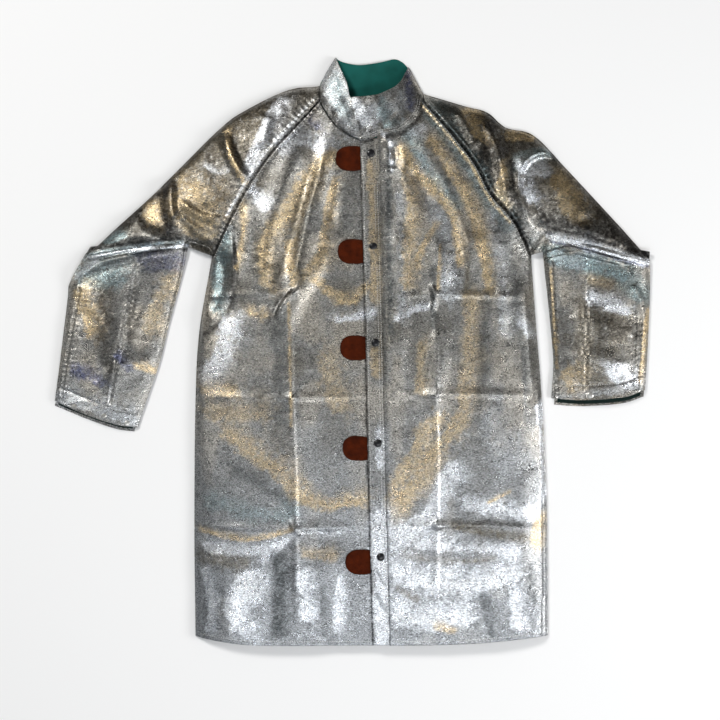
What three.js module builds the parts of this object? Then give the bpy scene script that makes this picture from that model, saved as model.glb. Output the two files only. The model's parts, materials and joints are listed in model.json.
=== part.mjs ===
// A heat-protective coat of aluminised cloth, lying on its back with the front uppermost.
// Millimetres. +X is the wearer's left, +Y runs from the hem to the collar, +Z is up off the floor.
// Places are measured from the middle of the span (x = 0) and down from the top of the collar.
import * as THREE from "three";

// ------------------------------------------------------------------ cloth and clearances
const cloth = 2.2; // aluminised cloth with its backing
const lining = 1.2; // cotton lining
const seamGap = 0.4; // clearance between two pieces that are sewn edge to edge
const layerGap = 0.3; // clearance between two layers that lie on each other
const liningInset = 12; // the lining stops this far inside a side fold
const liningEase = 2; // spare room between the lining and the cloth above it

// ------------------------------------------------------------------ body
const coatLength = 1016; // hem to the top of the collar
const bodyCentre = 35; // the body's middle, from the middle of the span
const hemWidth = 608;
const hemRise = 14; // the hem's corners lie this much higher than its middle
const chestWidth = 550; // armpit to armpit
const sideSwell = 10; // how far the side bows out past the hem's corner
const sideSwellDrop = 209; // and how far below the armpit it does so
const armpitDrop = 342;
const neckWidth = 178;
const neckEdge = 24; // length of the sleeve's short edge against the collar
const raglanBow = { out: -10, up: 28 }; // the raglan seam's corner, from the middle of its straight line
const underarmGap = 4; // between the sleeve's underarm and the body at the armpit
const elbowPitGap = 3; // the lower sleeve starts this far along the crease, so that it can fold

// ------------------------------------------------------------------ height of the lying coat
const neckCrown = 34; // top of the cloth above the floor, at the collar
const hemCrown = 28;
const elbowCrown = 24;
const cuffCrown = 20;
const roundWidth = 100; // how far in from a side fold the cloth reaches its full height
const flatMiddle = 165; // the crown keeps its height as far as this from the body's middle

// ------------------------------------------------------------------ front closure
const bandWidth = 29;
const bandCloth = 2.4; // the band is two layers
const bandTopX = 15.5; // front edge of the band at the neck seam
const bandHemX = 37; // and at the hem
const neckSeamDrop = 142; // top of the collar down to the front neck seam
const underlap = 26; // how far the wearer's right front runs on under the band
const snapDrops = [169, 329, 495, 668, 864];
const snapInset = 17; // snap centre from the band's front edge
const capRadius = 7;
const capHeight = 3;
const socketRadius = 6;
const socketHole = 3.2;
const socketHeight = 2;
const studRadius = 5;
const studFlange = 0.8;
const studPost = 1.9; // radius of the post
const studRise = 1.7; // height of the post above its flange
const tabLength = 44; // from the band's edge to the tab's round end
const tabWidth = 43;
const tabSag = 9; // the tab's middle lies this far below its snap
const leather = 1.8;
const tabRootLength = 26;
const tabRootWidth = 30;
const tabValley = 78; // the right front lies low under the tabs as far as this from the band's edge
const valleySlope = 52; // and rises again over this length
const underStep = 4; // under the band it sinks to the studs' level over this width

// ------------------------------------------------------------------ collar
const collarRight = { topX: -26, topDrop: 0 }; // upper corner at the wearer's right fold
const collarLeft = { topX: 98, topDrop: 18 };
const collarFront = { topX: 0, topDrop: 73 }; // top of the front edge of the lapping piece
const collarUnderlap = 12; // how far the under piece runs on beneath the lapping piece
const collarStep = 3; // the under piece lies this much lower

// ------------------------------------------------------------------ sleeves, as they lie
const sleeves = {
  right: {
    side: -1,
    neckDrop: 52,
    shoulderOut: -25, // shoulder tip out from the armpit
    shoulderDrop: 78,
    elbowOut: 215, // outer corner of the elbow out from the armpit
    elbowDrop: 340,
    elbowWidth: 166,
    creaseTilt: 7.6, // degrees
    elbowBulge: 50,
    elbowFall: 38,
    forearm: 273, // along the outer edge
    forearmLean: 12.9,
    cuffWidth: 149,
    cuffTilt: 17.6,
    cuffSnaps: [0.24, 0.6, 0.88], // places across the cuff, from its outer end
    snapSize: 4.6,
  },
  left: {
    side: 1,
    neckDrop: 65,
    shoulderOut: -10,
    shoulderDrop: 68,
    elbowOut: 205.4,
    elbowDrop: 349,
    elbowWidth: 181,
    creaseTilt: 15,
    elbowBulge: 3,
    elbowFall: 39,
    forearm: 240,
    forearmLean: -1.9,
    cuffWidth: 160,
    cuffTilt: 5.4,
    cuffSnaps: [0.6],
    snapSize: 5.6,
  },
};
const cuffSnapInset = 12; // snap centre from the cuff's rim
const cuffSnapHeight = 1.6;

// ------------------------------------------------------------------ how finely shapes are cut
const sideRows = 8;
const raglanRows = 6;
const sleeveRows = 5;
const elbowPitRow = 3; // the upper sleeve's rows reach the elbow's pit here and then step along the crease
const shoulderSteps = 24;
const roundSteps = 16;
const foldSteps = [0, 3, 9, 20, 40, 68]; // columns of points, in from a side fold
const closureShare = 0.72; // the closure's columns take at most this share of a short row

const topY = coatLength / 2;
const hemY = -coatLength / 2;
const neckSeamY = topY - neckSeamDrop;
const armpitY = topY - armpitDrop;
const foldEdge = 2 * cloth + layerGap; // height of a side fold
const liningFloor = cloth + 2 * lining + 2 * layerGap; // lowest top of a lining over the back's lining

// ------------------------------------------------------------------ materials
const metalness = 0.9;
const silver = () => new THREE.MeshStandardMaterial({ color: 0xa9a6a0, roughness: 0.35, metalness });
const green = () => new THREE.MeshStandardMaterial({ color: 0x19695f, roughness: 0.9, metalness: 0 });
const brown = () => new THREE.MeshStandardMaterial({ color: 0x5e240e, roughness: 0.75, metalness: 0 });
const black = () => new THREE.MeshStandardMaterial({ color: 0x17181a, roughness: 0.3, metalness: 0.5 });
const nickel = () => new THREE.MeshStandardMaterial({ color: 0xb8b8b4, roughness: 0.3, metalness });

const coat = new THREE.Group();

function addMesh(name, geometry, material) {
  const mesh = new THREE.Mesh(geometry, material);
  mesh.name = name;
  coat.add(mesh);
  return mesh;
}

// ------------------------------------------------------------------ small helpers
const mix = (a, b, t) => a + (b - a) * t;
const mixPoint = (p, q, t) => [mix(p[0], q[0], t), mix(p[1], q[1], t)];
const clamp = (t) => Math.min(1, Math.max(0, t));
const spread = (n) => Array.from({ length: n + 1 }, (_, i) => i / n);
const radians = THREE.MathUtils.degToRad;
const distance = (p, q) => Math.hypot(p[0] - q[0], p[1] - q[1]);

/** A point moved a given length from p towards q. */
function towards(p, q, length) {
  return mixPoint(p, q, length / distance(p, q));
}

/** Points along a curve that leaves a towards the corner and arrives at b. */
function curvePoints(a, corner, b, steps) {
  const curve = new THREE.QuadraticBezierCurve(
    new THREE.Vector2(...a),
    new THREE.Vector2(...corner),
    new THREE.Vector2(...b),
  );
  return curve.getPoints(steps).map((p) => [p.x, p.y]);
}

// ------------------------------------------------------------------ outline of each side
function outlineOf(lie) {
  const { side } = lie;
  const x = (reach) => bodyCentre + side * reach;
  const armpit = [x(chestWidth / 2), armpitY];
  const hemCorner = [x(hemWidth / 2), hemY + hemRise];
  const neckPoint = [x(neckWidth / 2), topY - lie.neckDrop];
  const raglanTop = [neckPoint[0], neckPoint[1] - neckEdge];
  const raglanMiddle = mixPoint(armpit, raglanTop, 0.5);
  const raglanCorner = [raglanMiddle[0] + side * raglanBow.out, raglanMiddle[1] + raglanBow.up];
  const elbow = [x(chestWidth / 2 + lie.elbowOut), topY - lie.elbowDrop];
  const crease = radians(lie.creaseTilt);
  const elbowPit = [
    elbow[0] - side * lie.elbowWidth * Math.cos(crease),
    elbow[1] + lie.elbowWidth * Math.sin(crease),
  ];
  const lean = radians(lie.forearmLean);
  const cuffOuter = [
    elbow[0] + side * lie.forearm * Math.sin(lean),
    elbow[1] - lie.forearm * Math.cos(lean),
  ];
  const tilt = radians(lie.cuffTilt);
  const cuffInner = [
    cuffOuter[0] - side * lie.cuffWidth * Math.cos(tilt),
    cuffOuter[1] - lie.cuffWidth * Math.sin(tilt),
  ];
  const shoulderTip = [x(chestWidth / 2 + lie.shoulderOut), topY - lie.shoulderDrop];
  const elbowTip = [elbow[0] + side * lie.elbowBulge, elbow[1] - lie.elbowFall];
  const sideTip = [x(hemWidth / 2 + sideSwell), armpitY - sideSwellDrop];
  const collarEnd = side < 0 ? collarRight : collarLeft;
  return {
    side,
    armpit,
    neckPoint,
    raglanTop,
    elbow,
    elbowPit,
    cuffOuter,
    cuffInner,
    collarTop: [collarEnd.topX, topY - collarEnd.topDrop],
    shoulder: curvePoints(neckPoint, shoulderTip, elbow, shoulderSteps),
    outer: curvePoints(elbow, elbowTip, cuffOuter, sleeveRows),
    flank: curvePoints(hemCorner, sideTip, armpit, sideRows),
    raglan: curvePoints(armpit, raglanCorner, raglanTop, raglanRows),
  };
}

const outlines = { right: outlineOf(sleeves.right), left: outlineOf(sleeves.left) };

// ------------------------------------------------------------------ height of the upper cloth
/** Every edge where the upper cloth folds over to the lower cloth. */
const foldLines = Object.values(outlines).flatMap((line) => [
  line.shoulder,
  line.outer,
  [line.cuffInner, line.elbowPit, line.armpit],
  line.flank,
  [line.neckPoint, line.collarTop],
]);

function distanceToSegment(p, a, b) {
  const run = [b[0] - a[0], b[1] - a[1]];
  const along = ((p[0] - a[0]) * run[0] + (p[1] - a[1]) * run[1]) / (run[0] ** 2 + run[1] ** 2);
  return distance(p, mixPoint(a, b, clamp(along)));
}

function distanceToFold(p) {
  let nearest = Infinity;
  for (const line of foldLines) {
    for (let i = 1; i < line.length; i += 1) {
      nearest = Math.min(nearest, distanceToSegment(p, line[i - 1], line[i]));
    }
  }
  return nearest;
}

/** A quarter of an ellipse: 0 at the fold, 1 at the full height. */
const roundUp = (t) => Math.sqrt(1 - (1 - clamp(t)) ** 2);

function crownAt([x, y]) {
  const onBody = mix(hemCrown, neckCrown, (y - hemY) / coatLength);
  const reach = Math.abs(x - bodyCentre);
  const outward = (reach - flatMiddle) / (chestWidth / 2 + sleeves.right.elbowOut - flatMiddle);
  const shoulder = mix(onBody, elbowCrown, clamp(outward));
  const isForearm = reach > Math.max(hemWidth, chestWidth) / 2 + sideSwell && y < armpitY + neckEdge;
  const down = isForearm ? clamp((armpitY - y) / sleeves.right.forearm) : 0;
  return mix(shoulder, cuffCrown, down);
}

function clothTop(p) {
  return foldEdge + (crownAt(p) - foldEdge) * roundUp(distanceToFold(p) / roundWidth);
}

/** Lowest place for a lining that lies over the lower lining, rising with the cloth above it. */
function liningTop(p) {
  const high = crownAt(p) - cloth - liningEase;
  return mix(liningFloor, high, roundUp((distanceToFold(p) - liningInset) / roundWidth));
}

/** Front edge of the band at height y. */
const bandFront = (y) => mix(bandHemX, bandTopX, (y - hemY) / (neckSeamY - hemY));

const tabDepth = bandCloth + layerGap + leather + layerGap;
const studDepth = tabDepth + socketHeight + layerGap + studFlange + layerGap;

/** How far the wearer's right front lies below the full height, under the tabs and the band. */
function valley([x, y]) {
  const before = bandFront(y) - x;
  if (before < 0) {
    return mix(tabDepth, studDepth, clamp(-before / underStep));
  }
  return tabDepth * clamp((tabValley + valleySlope - before) / valleySlope);
}

// ------------------------------------------------------------------ solids from sheets of points
/**
 * One closed solid between two matching sheets of points, given row by row.
 * A ring joins its last column to its first, as a sleeve does.
 */
function sheetSolid(name, material, outer, inner, ring = false) {
  const rows = outer.length;
  const columns = outer[0].length;
  const points = [...outer.flat(), ...inner.flat()];
  const faces = [];
  const at = (sheet, i, j) => sheet * rows * columns + i * columns + (j % columns);
  const quad = (a, b, c, d) => faces.push(a, b, c, a, c, d);
  const lastColumn = ring ? columns : columns - 1;
  for (let i = 0; i < rows - 1; i += 1) {
    for (let j = 0; j < lastColumn; j += 1) {
      quad(at(0, i, j), at(0, i, j + 1), at(0, i + 1, j + 1), at(0, i + 1, j));
      quad(at(1, i, j), at(1, i + 1, j), at(1, i + 1, j + 1), at(1, i, j + 1));
    }
  }
  for (let j = 0; j < lastColumn; j += 1) {
    quad(at(0, 0, j), at(1, 0, j), at(1, 0, j + 1), at(0, 0, j + 1));
    quad(at(0, rows - 1, j), at(0, rows - 1, j + 1), at(1, rows - 1, j + 1), at(1, rows - 1, j));
  }
  for (let i = 0; i < rows - 1 && !ring; i += 1) {
    quad(at(0, i, 0), at(0, i + 1, 0), at(1, i + 1, 0), at(1, i, 0));
    quad(at(0, i, columns - 1), at(1, i, columns - 1), at(1, i + 1, columns - 1), at(0, i + 1, columns - 1));
  }
  const geometry = new THREE.BufferGeometry();
  geometry.setAttribute("position", new THREE.Float32BufferAttribute(points.flat(), 3));
  geometry.setIndex(signedVolume(points, faces) < 0 ? faces.reverse() : faces);
  geometry.computeVertexNormals();
  return addMesh(name, geometry, material);
}

function signedVolume(points, faces) {
  let six = 0;
  for (let f = 0; f < faces.length; f += 3) {
    const [a, b, c] = [points[faces[f]], points[faces[f + 1]], points[faces[f + 2]]];
    six += a[0] * (b[1] * c[2] - b[2] * c[1]);
    six -= a[1] * (b[0] * c[2] - b[2] * c[0]);
    six += a[2] * (b[0] * c[1] - b[1] * c[0]);
  }
  return six / 6;
}

/** A sheet whose rows of plan points are lifted to top(p), with its underside one thickness below. */
function layer(name, material, planRows, top, thickness) {
  const upper = planRows.map((row) => row.map((p) => [...p, top(p)]));
  const lower = planRows.map((row) => row.map((p) => [...p, top(p) - thickness]));
  return sheetSolid(name, material, upper, lower);
}

/** Plan points from p to q: at the fold's steps in from p, then evenly on to q. */
function rowFromFold(p, q, evenly) {
  const length = distance(p, q);
  const stretch = Math.min(1, (0.5 * length) / foldSteps.at(-1));
  const near = foldSteps.map((step) => towards(p, q, step * stretch));
  const rest = spread(evenly).slice(1);
  return [...near, ...rest.map((t) => mixPoint(near.at(-1), q, t))];
}

/** Trims the ends of a pair of plan points by the given lengths. */
const trimmed = (p, q, startTrim, endTrim) => [towards(p, q, startTrim), towards(q, p, endTrim)];

// ------------------------------------------------------------------ back
const sideLine = (line) => [...line.flank, ...line.raglan.slice(1)];

function makeBack() {
  const pairs = sideLine(outlines.right).map((p, i) => [p, sideLine(outlines.left)[i]]);
  const rowsWith = (inset) =>
    pairs.map(([p, q]) => {
      const [a, b] = trimmed(p, q, seamGap + inset, seamGap + inset);
      return spread(4).map((t) => mixPoint(a, b, t));
    });
  layer("back_panel", silver(), rowsWith(0), () => cloth, cloth);
  layer("back_lining", green(), rowsWith(liningInset), () => cloth + layerGap + lining, lining);
}

// ------------------------------------------------------------------ fronts
/** Where the closure edge of a front meets each of its rows; the hem row first. */
function closurePoint(index, offset) {
  const armpitRowY = armpitY - neckEdge;
  const y =
    index <= sideRows
      ? mix(hemY, armpitRowY, index / sideRows)
      : mix(armpitRowY, neckSeamY, (index - sideRows) / raglanRows);
  return [bandFront(y) + offset, y];
}

/** Rows from the side fold to the closure, with the closure's own columns kept at their true distances. */
function rightFrontRows(inset, endOffset, closureSteps) {
  return sideLine(outlines.right).map((p, i) => {
    const end = closurePoint(i, endOffset);
    const start = towards(p, end, seamGap + inset);
    const stretch = Math.min(1, (closureShare * distance(start, end)) / closureSteps.at(-1));
    const near = closureSteps.map((step) => towards(end, start, step * stretch)).reverse();
    const room = Math.min(1, (closureShare * distance(start, near[0])) / foldSteps.at(-1));
    return [...foldSteps.map((step) => towards(start, near[0], step * room)), ...near];
  });
}

function makeRightFront() {
  const clothRows = rightFrontRows(0, underlap, [0, 18, 22, 26, 32, 60, 100, 152]);
  layer("front_right", silver(), clothRows, (p) => clothTop(p) - valley(p), cloth);
  const liningRows = rightFrontRows(liningInset, -liningInset, [0, 30, 66, 114]);
  const top = (p) => Math.max(liningTop(p) - valley(p), liningFloor);
  layer("front_lining_right", green(), liningRows, top, lining);
}

function makeLeftFront() {
  const rowsWith = (inset) =>
    sideLine(outlines.left).map((p, i) => {
      const end = closurePoint(i, bandWidth + seamGap + inset);
      return rowFromFold(towards(p, end, seamGap + inset), end, 3);
    });
  layer("front_left", silver(), rowsWith(0), clothTop, cloth);
  layer("front_lining_left", green(), rowsWith(liningInset), liningTop, lining);
}

// ------------------------------------------------------------------ sleeves
/** Rows of a lens-shaped tube between pairs of edge points; inset and heights choose which skin. */
function tubeSkin(pairs, inset, bottom, top) {
  return pairs.map(([p, q]) => {
    const [a, b] = trimmed(p, q, inset, inset);
    const half = mixPoint(a, b, 0.5);
    const out = rowFromFold(a, half, 1);
    const across = [...out, ...rowFromFold(b, half, 1).slice(0, -1).reverse()];
    const lower = across.map((point) => [...point, bottom]);
    const upper = across.map((point) => [...point, Math.max(top(point), bottom + layerGap)]);
    return [...lower, ...upper.reverse()];
  });
}

const clothInset = 5; // the inside of the cloth starts this far in from the fold

function makeTube(name, material, pairs) {
  const outer = tubeSkin(pairs, 0, 0, clothTop);
  const inner = tubeSkin(pairs, clothInset, cloth, (p) => clothTop(p) - cloth);
  return sheetSolid(name, material, outer, inner, true);
}

function makeLiningTube(name, material, pairs) {
  const floor = cloth + layerGap;
  const outer = tubeSkin(pairs, liningInset, floor, liningTop);
  const inner = tubeSkin(pairs, liningInset + 2 * lining, floor + lining, (p) => liningTop(p) - lining);
  return sheetSolid(name, material, outer, inner, true);
}

/** The part of the sleeve that stays on the body: cloth folded over the shoulder, open at the raglan seam. */
function makeShoulder(name, line) {
  const cut = cutLine(line);
  const overShoulder = line.shoulder.filter((p) => (p[0] - line.armpit[0]) * line.side < 0).reverse();
  const outlinePoints = [cut[1], ...overShoulder];
  const rows = line.raglan.map((seam, i) => {
    const along = (i / raglanRows) * (outlinePoints.length - 1);
    const k = Math.min(Math.floor(along), outlinePoints.length - 2);
    return [seam, mixPoint(outlinePoints[k], outlinePoints[k + 1], along - k)];
  });
  const skin = (inset, bottom, top) =>
    rows.map(([seam, fold]) => {
      const [a, b] = trimmed(seam, fold, seamGap, inset);
      const across = rowFromFold(b, a, 2).reverse();
      const lower = across.map((p) => [...p, bottom]);
      const upper = across.map((p) => [...p, Math.max(top(p), bottom + layerGap)]);
      return [...lower, ...upper.reverse()];
    });
  const outer = skin(0, 0, clothTop);
  const inner = skin(clothInset, cloth, (p) => clothTop(p) - cloth);
  return sheetSolid(name, silver(), outer, inner);
}

/** Where the sleeve folds at the shoulder: straight up from the armpit to the outline. */
function cutLine(line) {
  const x = line.armpit[0];
  const after = line.shoulder.findIndex((p) => (p[0] - x) * line.side >= 0);
  const [a, b] = [line.shoulder[after - 1], line.shoulder[after]];
  return [line.armpit, mixPoint(a, b, (x - a[0]) / (b[0] - a[0]))];
}

function upperSleevePairs(line) {
  const x = (p) => [p[0] + line.side * seamGap, p[1]];
  const [pit, top] = cutLine(line).map(x);
  const start = [pit[0], pit[1] + underarmGap];
  const elbowPit = [line.elbowPit[0], line.elbowPit[1] + seamGap];
  const elbow = [line.elbow[0], line.elbow[1] + seamGap];
  const outside = line.shoulder.filter((p) => (p[0] - top[0]) * line.side > 1);
  const outer = [top, ...outside.slice(0, -1), elbow];
  return spread(sleeveRows).map((t, i) => {
    const along = t * (outer.length - 1);
    const k = Math.min(Math.floor(along), outer.length - 2);
    const past = i - elbowPitRow;
    const underarm = mixPoint(start, elbowPit, Math.min(1, i / elbowPitRow));
    const inner = past > 0 ? towards(elbowPit, elbow, past * elbowPitGap) : underarm;
    return [inner, mixPoint(outer[k], outer[k + 1], along - k)];
  });
}

function lowerSleevePairs(line) {
  const down = (p) => [p[0], p[1] - seamGap];
  return line.outer.map((p, i) => {
    const inner = mixPoint(line.elbowPit, line.cuffInner, i / sleeveRows);
    return i === 0 ? [down(towards(inner, p, elbowPitGap)), down(p)] : [inner, p];
  });
}

/** A low round cap standing on the upper cloth, turned to the slope of the cloth. */
function makeCuffSnap(name, lie, line, share) {
  const rim = mixPoint(line.cuffOuter, line.cuffInner, share);
  const elbowSide = mixPoint(line.elbow, line.elbowPit, share);
  const [x, y] = towards(rim, elbowSide, cuffSnapInset);
  const step = lie.snapSize;
  const slopeX = (clothTop([x + step, y]) - clothTop([x - step, y])) / (2 * step);
  const slopeY = (clothTop([x, y + step]) - clothTop([x, y - step])) / (2 * step);
  const normal = new THREE.Vector3(-slopeX, -slopeY, 1).normalize();
  const mesh = addMesh(name, domeGeometry(lie.snapSize, cuffSnapHeight), black());
  mesh.quaternion.setFromUnitVectors(new THREE.Vector3(0, 0, 1), normal);
  mesh.position.set(x, y, clothTop([x, y])).addScaledVector(normal, 2 * layerGap);
}

function makeSleeve(sideName) {
  const lie = sleeves[sideName];
  const line = outlines[sideName];
  makeShoulder(`shoulder_${sideName}`, line);
  makeTube(`upper_sleeve_${sideName}`, silver(), upperSleevePairs(line));
  makeTube(`lower_sleeve_${sideName}`, silver(), lowerSleevePairs(line));
  makeLiningTube(`sleeve_lining_${sideName}`, green(), lowerSleevePairs(line));
  lie.cuffSnaps.forEach((share, i) => makeCuffSnap(`cuff_snap_${sideName}_${i + 1}`, lie, line, share));
}

// ------------------------------------------------------------------ collar
/** Rows from the neck seam up to the collar's top edge, between two side lines. */
function collarRows(rightLine, leftLine, columns) {
  return rightLine.map((p, i) => spread(columns).map((t) => mixPoint(p, leftLine[i], t)));
}

/** The fold at one end of the collar: up the sleeve's edge, then on to the top corner. */
function collarFold(line, inset) {
  const x = (p) => [p[0] - line.side * (seamGap + inset), p[1]];
  const seam = [line.raglanTop[0], line.raglanTop[1] + seamGap];
  return [seam, line.neckPoint, mixPoint(line.neckPoint, line.collarTop, 0.5), line.collarTop].map(x);
}

/** Where the front neck seam of the wearer's right side lies at a given x. */
function rightNeckSeam(x) {
  const start = outlines.right.raglanTop;
  const end = closurePoint(sideRows + raglanRows, underlap);
  return mixPoint(start, end, (x - start[0]) / (end[0] - start[0]));
}

function makeCollar() {
  const rightFold = (inset) => collarFold(outlines.right, inset);
  const leftFold = (inset) => collarFold(outlines.left, inset);
  const back = (inset) => collarRows(rightFold(inset), leftFold(inset), 4);
  layer("collar_back", silver(), back(0), () => cloth, cloth);
  layer("collar_lining_back", green(), back(clothInset), () => cloth + layerGap + lining, lining);

  const frontTop = [collarFront.topX, topY - collarFront.topDrop];
  const frontSeam = [bandTopX, neckSeamY + seamGap];
  const frontEdge = (inset) =>
    spread(3).map((t) => {
      const [x, y] = mixPoint(frontSeam, frontTop, t);
      return [x + inset, y];
    });
  const lapping = (frontInset, inset) => collarRows(frontEdge(frontInset), leftFold(inset), 6);
  layer("collar_front_left", silver(), lapping(0, 0), clothTop, cloth);
  layer("collar_lining_left", green(), lapping(2 * collarUnderlap, liningInset), liningTop, lining);

  const underEdge = (inset) => {
    const seam = rightNeckSeam(bandTopX + collarUnderlap - inset);
    const foot = [seam[0], seam[1] + 2 * seamGap];
    const head = [frontTop[0] + collarUnderlap - inset, frontTop[1]];
    return spread(3).map((t) => mixPoint(foot, head, t));
  };
  const under = (inset) => collarRows(rightFold(inset), underEdge(inset), 6);
  const underTop = (p) => Math.max(clothTop(p) - collarStep, foldEdge);
  const underLiningTop = (p) => Math.max(liningTop(p) - collarStep, liningFloor);
  layer("collar_front_right", silver(), under(0), underTop, cloth);
  layer("collar_lining_right", green(), under(liningInset), underLiningTop, lining);
}

// ------------------------------------------------------------------ closure
/** Top of the band at height y, where the coat is at its full height. */
const bandTop = (y) => crownAt([bodyCentre, y]);

function makeBand() {
  const y = (t) => mix(hemY, neckSeamY - seamGap, t);
  const rows = spread(6).map((t) => spread(1).map((s) => [bandFront(y(t)) + s * bandWidth, y(t)]));
  layer("placket_band", silver(), rows, ([, at]) => bandTop(at), bandCloth);
}

/** A solid of revolution about +Z from a profile that starts and ends on the axis. */
function turned(profile) {
  const geometry = new THREE.LatheGeometry(profile.map((p) => new THREE.Vector2(...p)), roundSteps);
  return geometry.rotateX(Math.PI / 2);
}

function domeGeometry(radius, height) {
  return turned([
    [0, 0],
    [radius, 0],
    [radius, height * 0.35],
    [radius * 0.75, height * 0.8],
    [0, height],
  ]);
}

function socketGeometry() {
  return turned([
    [socketHole, 0],
    [socketRadius, 0],
    [socketRadius, socketHeight],
    [socketHole, socketHeight],
    [socketHole, 0],
  ]);
}

function studGeometry() {
  return turned([
    [0, 0],
    [studRadius, 0],
    [studRadius, studFlange],
    [studPost, studFlange],
    [studPost, studFlange + studRise],
    [0, studFlange + studRise],
  ]);
}

/** The leather tab's outline: straight at the band, round at the free end. */
function tabShape() {
  const half = tabWidth / 2;
  const straight = tabLength - half;
  const shape = new THREE.Shape();
  shape.moveTo(0, -half);
  shape.lineTo(0, half);
  shape.lineTo(-straight, half);
  shape.absarc(-straight, 0, half, Math.PI / 2, (3 * Math.PI) / 2, false);
  return shape;
}

function tabRootShape() {
  const half = tabRootWidth / 2;
  const shape = new THREE.Shape();
  shape.moveTo(0, -half);
  shape.lineTo(tabRootLength, -half);
  shape.lineTo(tabRootLength, half);
  shape.lineTo(0, half);
  return shape;
}

function plate(shape) {
  return new THREE.ExtrudeGeometry(shape, { depth: leather, bevelEnabled: false, curveSegments: 8 });
}

function makeFastening(number, drop) {
  const y = topY - drop;
  const snapX = bandFront(y) + snapInset;
  const top = bandTop(y);
  const tabY = y - tabSag;
  const tabBottom = bandTop(tabY) - bandCloth - layerGap - leather;
  const cap = addMesh(`snap_cap_${number}`, domeGeometry(capRadius, capHeight), black());
  cap.position.set(snapX, y, top + layerGap);
  const socket = addMesh(`snap_socket_${number}`, socketGeometry(), nickel());
  socket.position.set(snapX, y, top - tabDepth - socketHeight);
  const stud = addMesh(`snap_stud_${number}`, studGeometry(), nickel());
  stud.position.set(snapX, y, top - studDepth + layerGap);
  const edge = bandFront(tabY);
  const tab = addMesh(`tab_${number}`, plate(tabShape()), brown());
  tab.position.set(edge - seamGap, tabY, tabBottom);
  const root = addMesh(`tab_root_${number}`, plate(tabRootShape()), brown());
  root.position.set(edge, tabY, tabBottom);
}

makeBack();
makeRightFront();
makeLeftFront();
makeSleeve("right");
makeSleeve("left");
makeCollar();
makeBand();
snapDrops.forEach((drop, i) => makeFastening(i + 1, drop));

export default coat;
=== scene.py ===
import json

import bpy
import numpy as np
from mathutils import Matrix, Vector


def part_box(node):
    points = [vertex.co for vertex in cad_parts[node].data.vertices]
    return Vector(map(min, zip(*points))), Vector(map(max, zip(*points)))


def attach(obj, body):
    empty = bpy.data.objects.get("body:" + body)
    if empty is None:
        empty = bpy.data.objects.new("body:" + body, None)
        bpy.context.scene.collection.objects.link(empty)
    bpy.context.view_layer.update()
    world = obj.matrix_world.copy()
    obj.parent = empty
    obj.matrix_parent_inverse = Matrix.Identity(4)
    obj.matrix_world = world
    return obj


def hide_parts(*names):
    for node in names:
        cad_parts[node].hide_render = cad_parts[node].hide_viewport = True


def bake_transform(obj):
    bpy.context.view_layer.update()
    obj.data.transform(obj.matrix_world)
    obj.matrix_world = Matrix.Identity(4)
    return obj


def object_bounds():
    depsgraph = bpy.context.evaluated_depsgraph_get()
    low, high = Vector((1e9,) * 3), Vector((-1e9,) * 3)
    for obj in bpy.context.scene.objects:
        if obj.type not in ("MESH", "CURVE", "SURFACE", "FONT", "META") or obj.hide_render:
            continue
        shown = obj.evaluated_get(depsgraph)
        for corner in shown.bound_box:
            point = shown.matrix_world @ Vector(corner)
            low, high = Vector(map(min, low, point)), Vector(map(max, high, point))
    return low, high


# %% [markdown]
# # A metal-faced coat, laid flat on its back
#
# This lesson dresses a plain CAD coat in real cloth. The coat is a knee-length work coat of silver
# aluminised cloth with raglan sleeves, a stand collar, a green cotton lining, five leather pull tabs
# and five black domed snaps. It lies on its back, and each piece of cloth becomes a surface worked out
# with numpy: a grid between four edges, lifted by one height function that the whole coat shares.
#
# First the frame is loaded. Its box is kept, because the finished coat has to fill the same box, and
# one centimetre of the coat is worked out from its width.

# %% Load the frame
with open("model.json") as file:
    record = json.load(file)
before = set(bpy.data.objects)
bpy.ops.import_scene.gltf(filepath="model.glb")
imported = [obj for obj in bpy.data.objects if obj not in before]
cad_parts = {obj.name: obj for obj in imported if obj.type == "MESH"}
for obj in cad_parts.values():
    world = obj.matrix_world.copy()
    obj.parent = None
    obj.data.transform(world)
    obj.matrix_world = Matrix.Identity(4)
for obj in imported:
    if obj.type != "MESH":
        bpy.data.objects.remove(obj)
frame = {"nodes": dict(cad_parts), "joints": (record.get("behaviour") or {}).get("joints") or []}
cad_low, cad_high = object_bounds()
SPAN_CM = 103.2
CM = (cad_high.x - cad_low.x) / SPAN_CM
MM = CM / 10
joints = {joint["name"]: joint for joint in frame["joints"]}
print("coat box, mm:", [round(v / MM) for v in (*cad_low, *cad_high)])

# %% [markdown]
# ## Lines, distances and patches
#
# A pattern cutter draws a coat with a few curved lines, and so do we. `curve` runs smoothly through a
# few points, `patch` fills the space between four curves with a grid, and `nearest` tells every
# point of a grid how far it is from a line. Distances to lines are what fold and seam are made from.


# %% Curves and patches
def curve(points, count):
    """Even steps on a Catmull-Rom line through points given in centimetres.

    Between two points p1 and p2, with neighbours p0 and p3, a place at t is half of
    2 p1 + (p2 - p0) t + (2 p0 - 5 p1 + 4 p2 - p3) t^2 + (3 p1 - p0 - 3 p2 + p3) t^3.
    """
    p = np.array(points, float) * CM
    ends = np.vstack([2 * p[0] - p[1], p, 2 * p[-1] - p[-2]])
    t = np.linspace(0, len(p) - 1, 24 * len(p))
    i = np.minimum(t.astype(int), len(p) - 2)
    f = (t - i)[:, None]
    p0, p1, p2, p3 = (ends[i + k] for k in range(4))
    fine = 0.5 * (2 * p1 + (p2 - p0) * f + (2 * p0 - 5 * p1 + 4 * p2 - p3) * f**2)
    fine = fine + 0.5 * (3 * p1 - p0 - 3 * p2 + p3) * f**3
    return even(fine, count)


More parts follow.
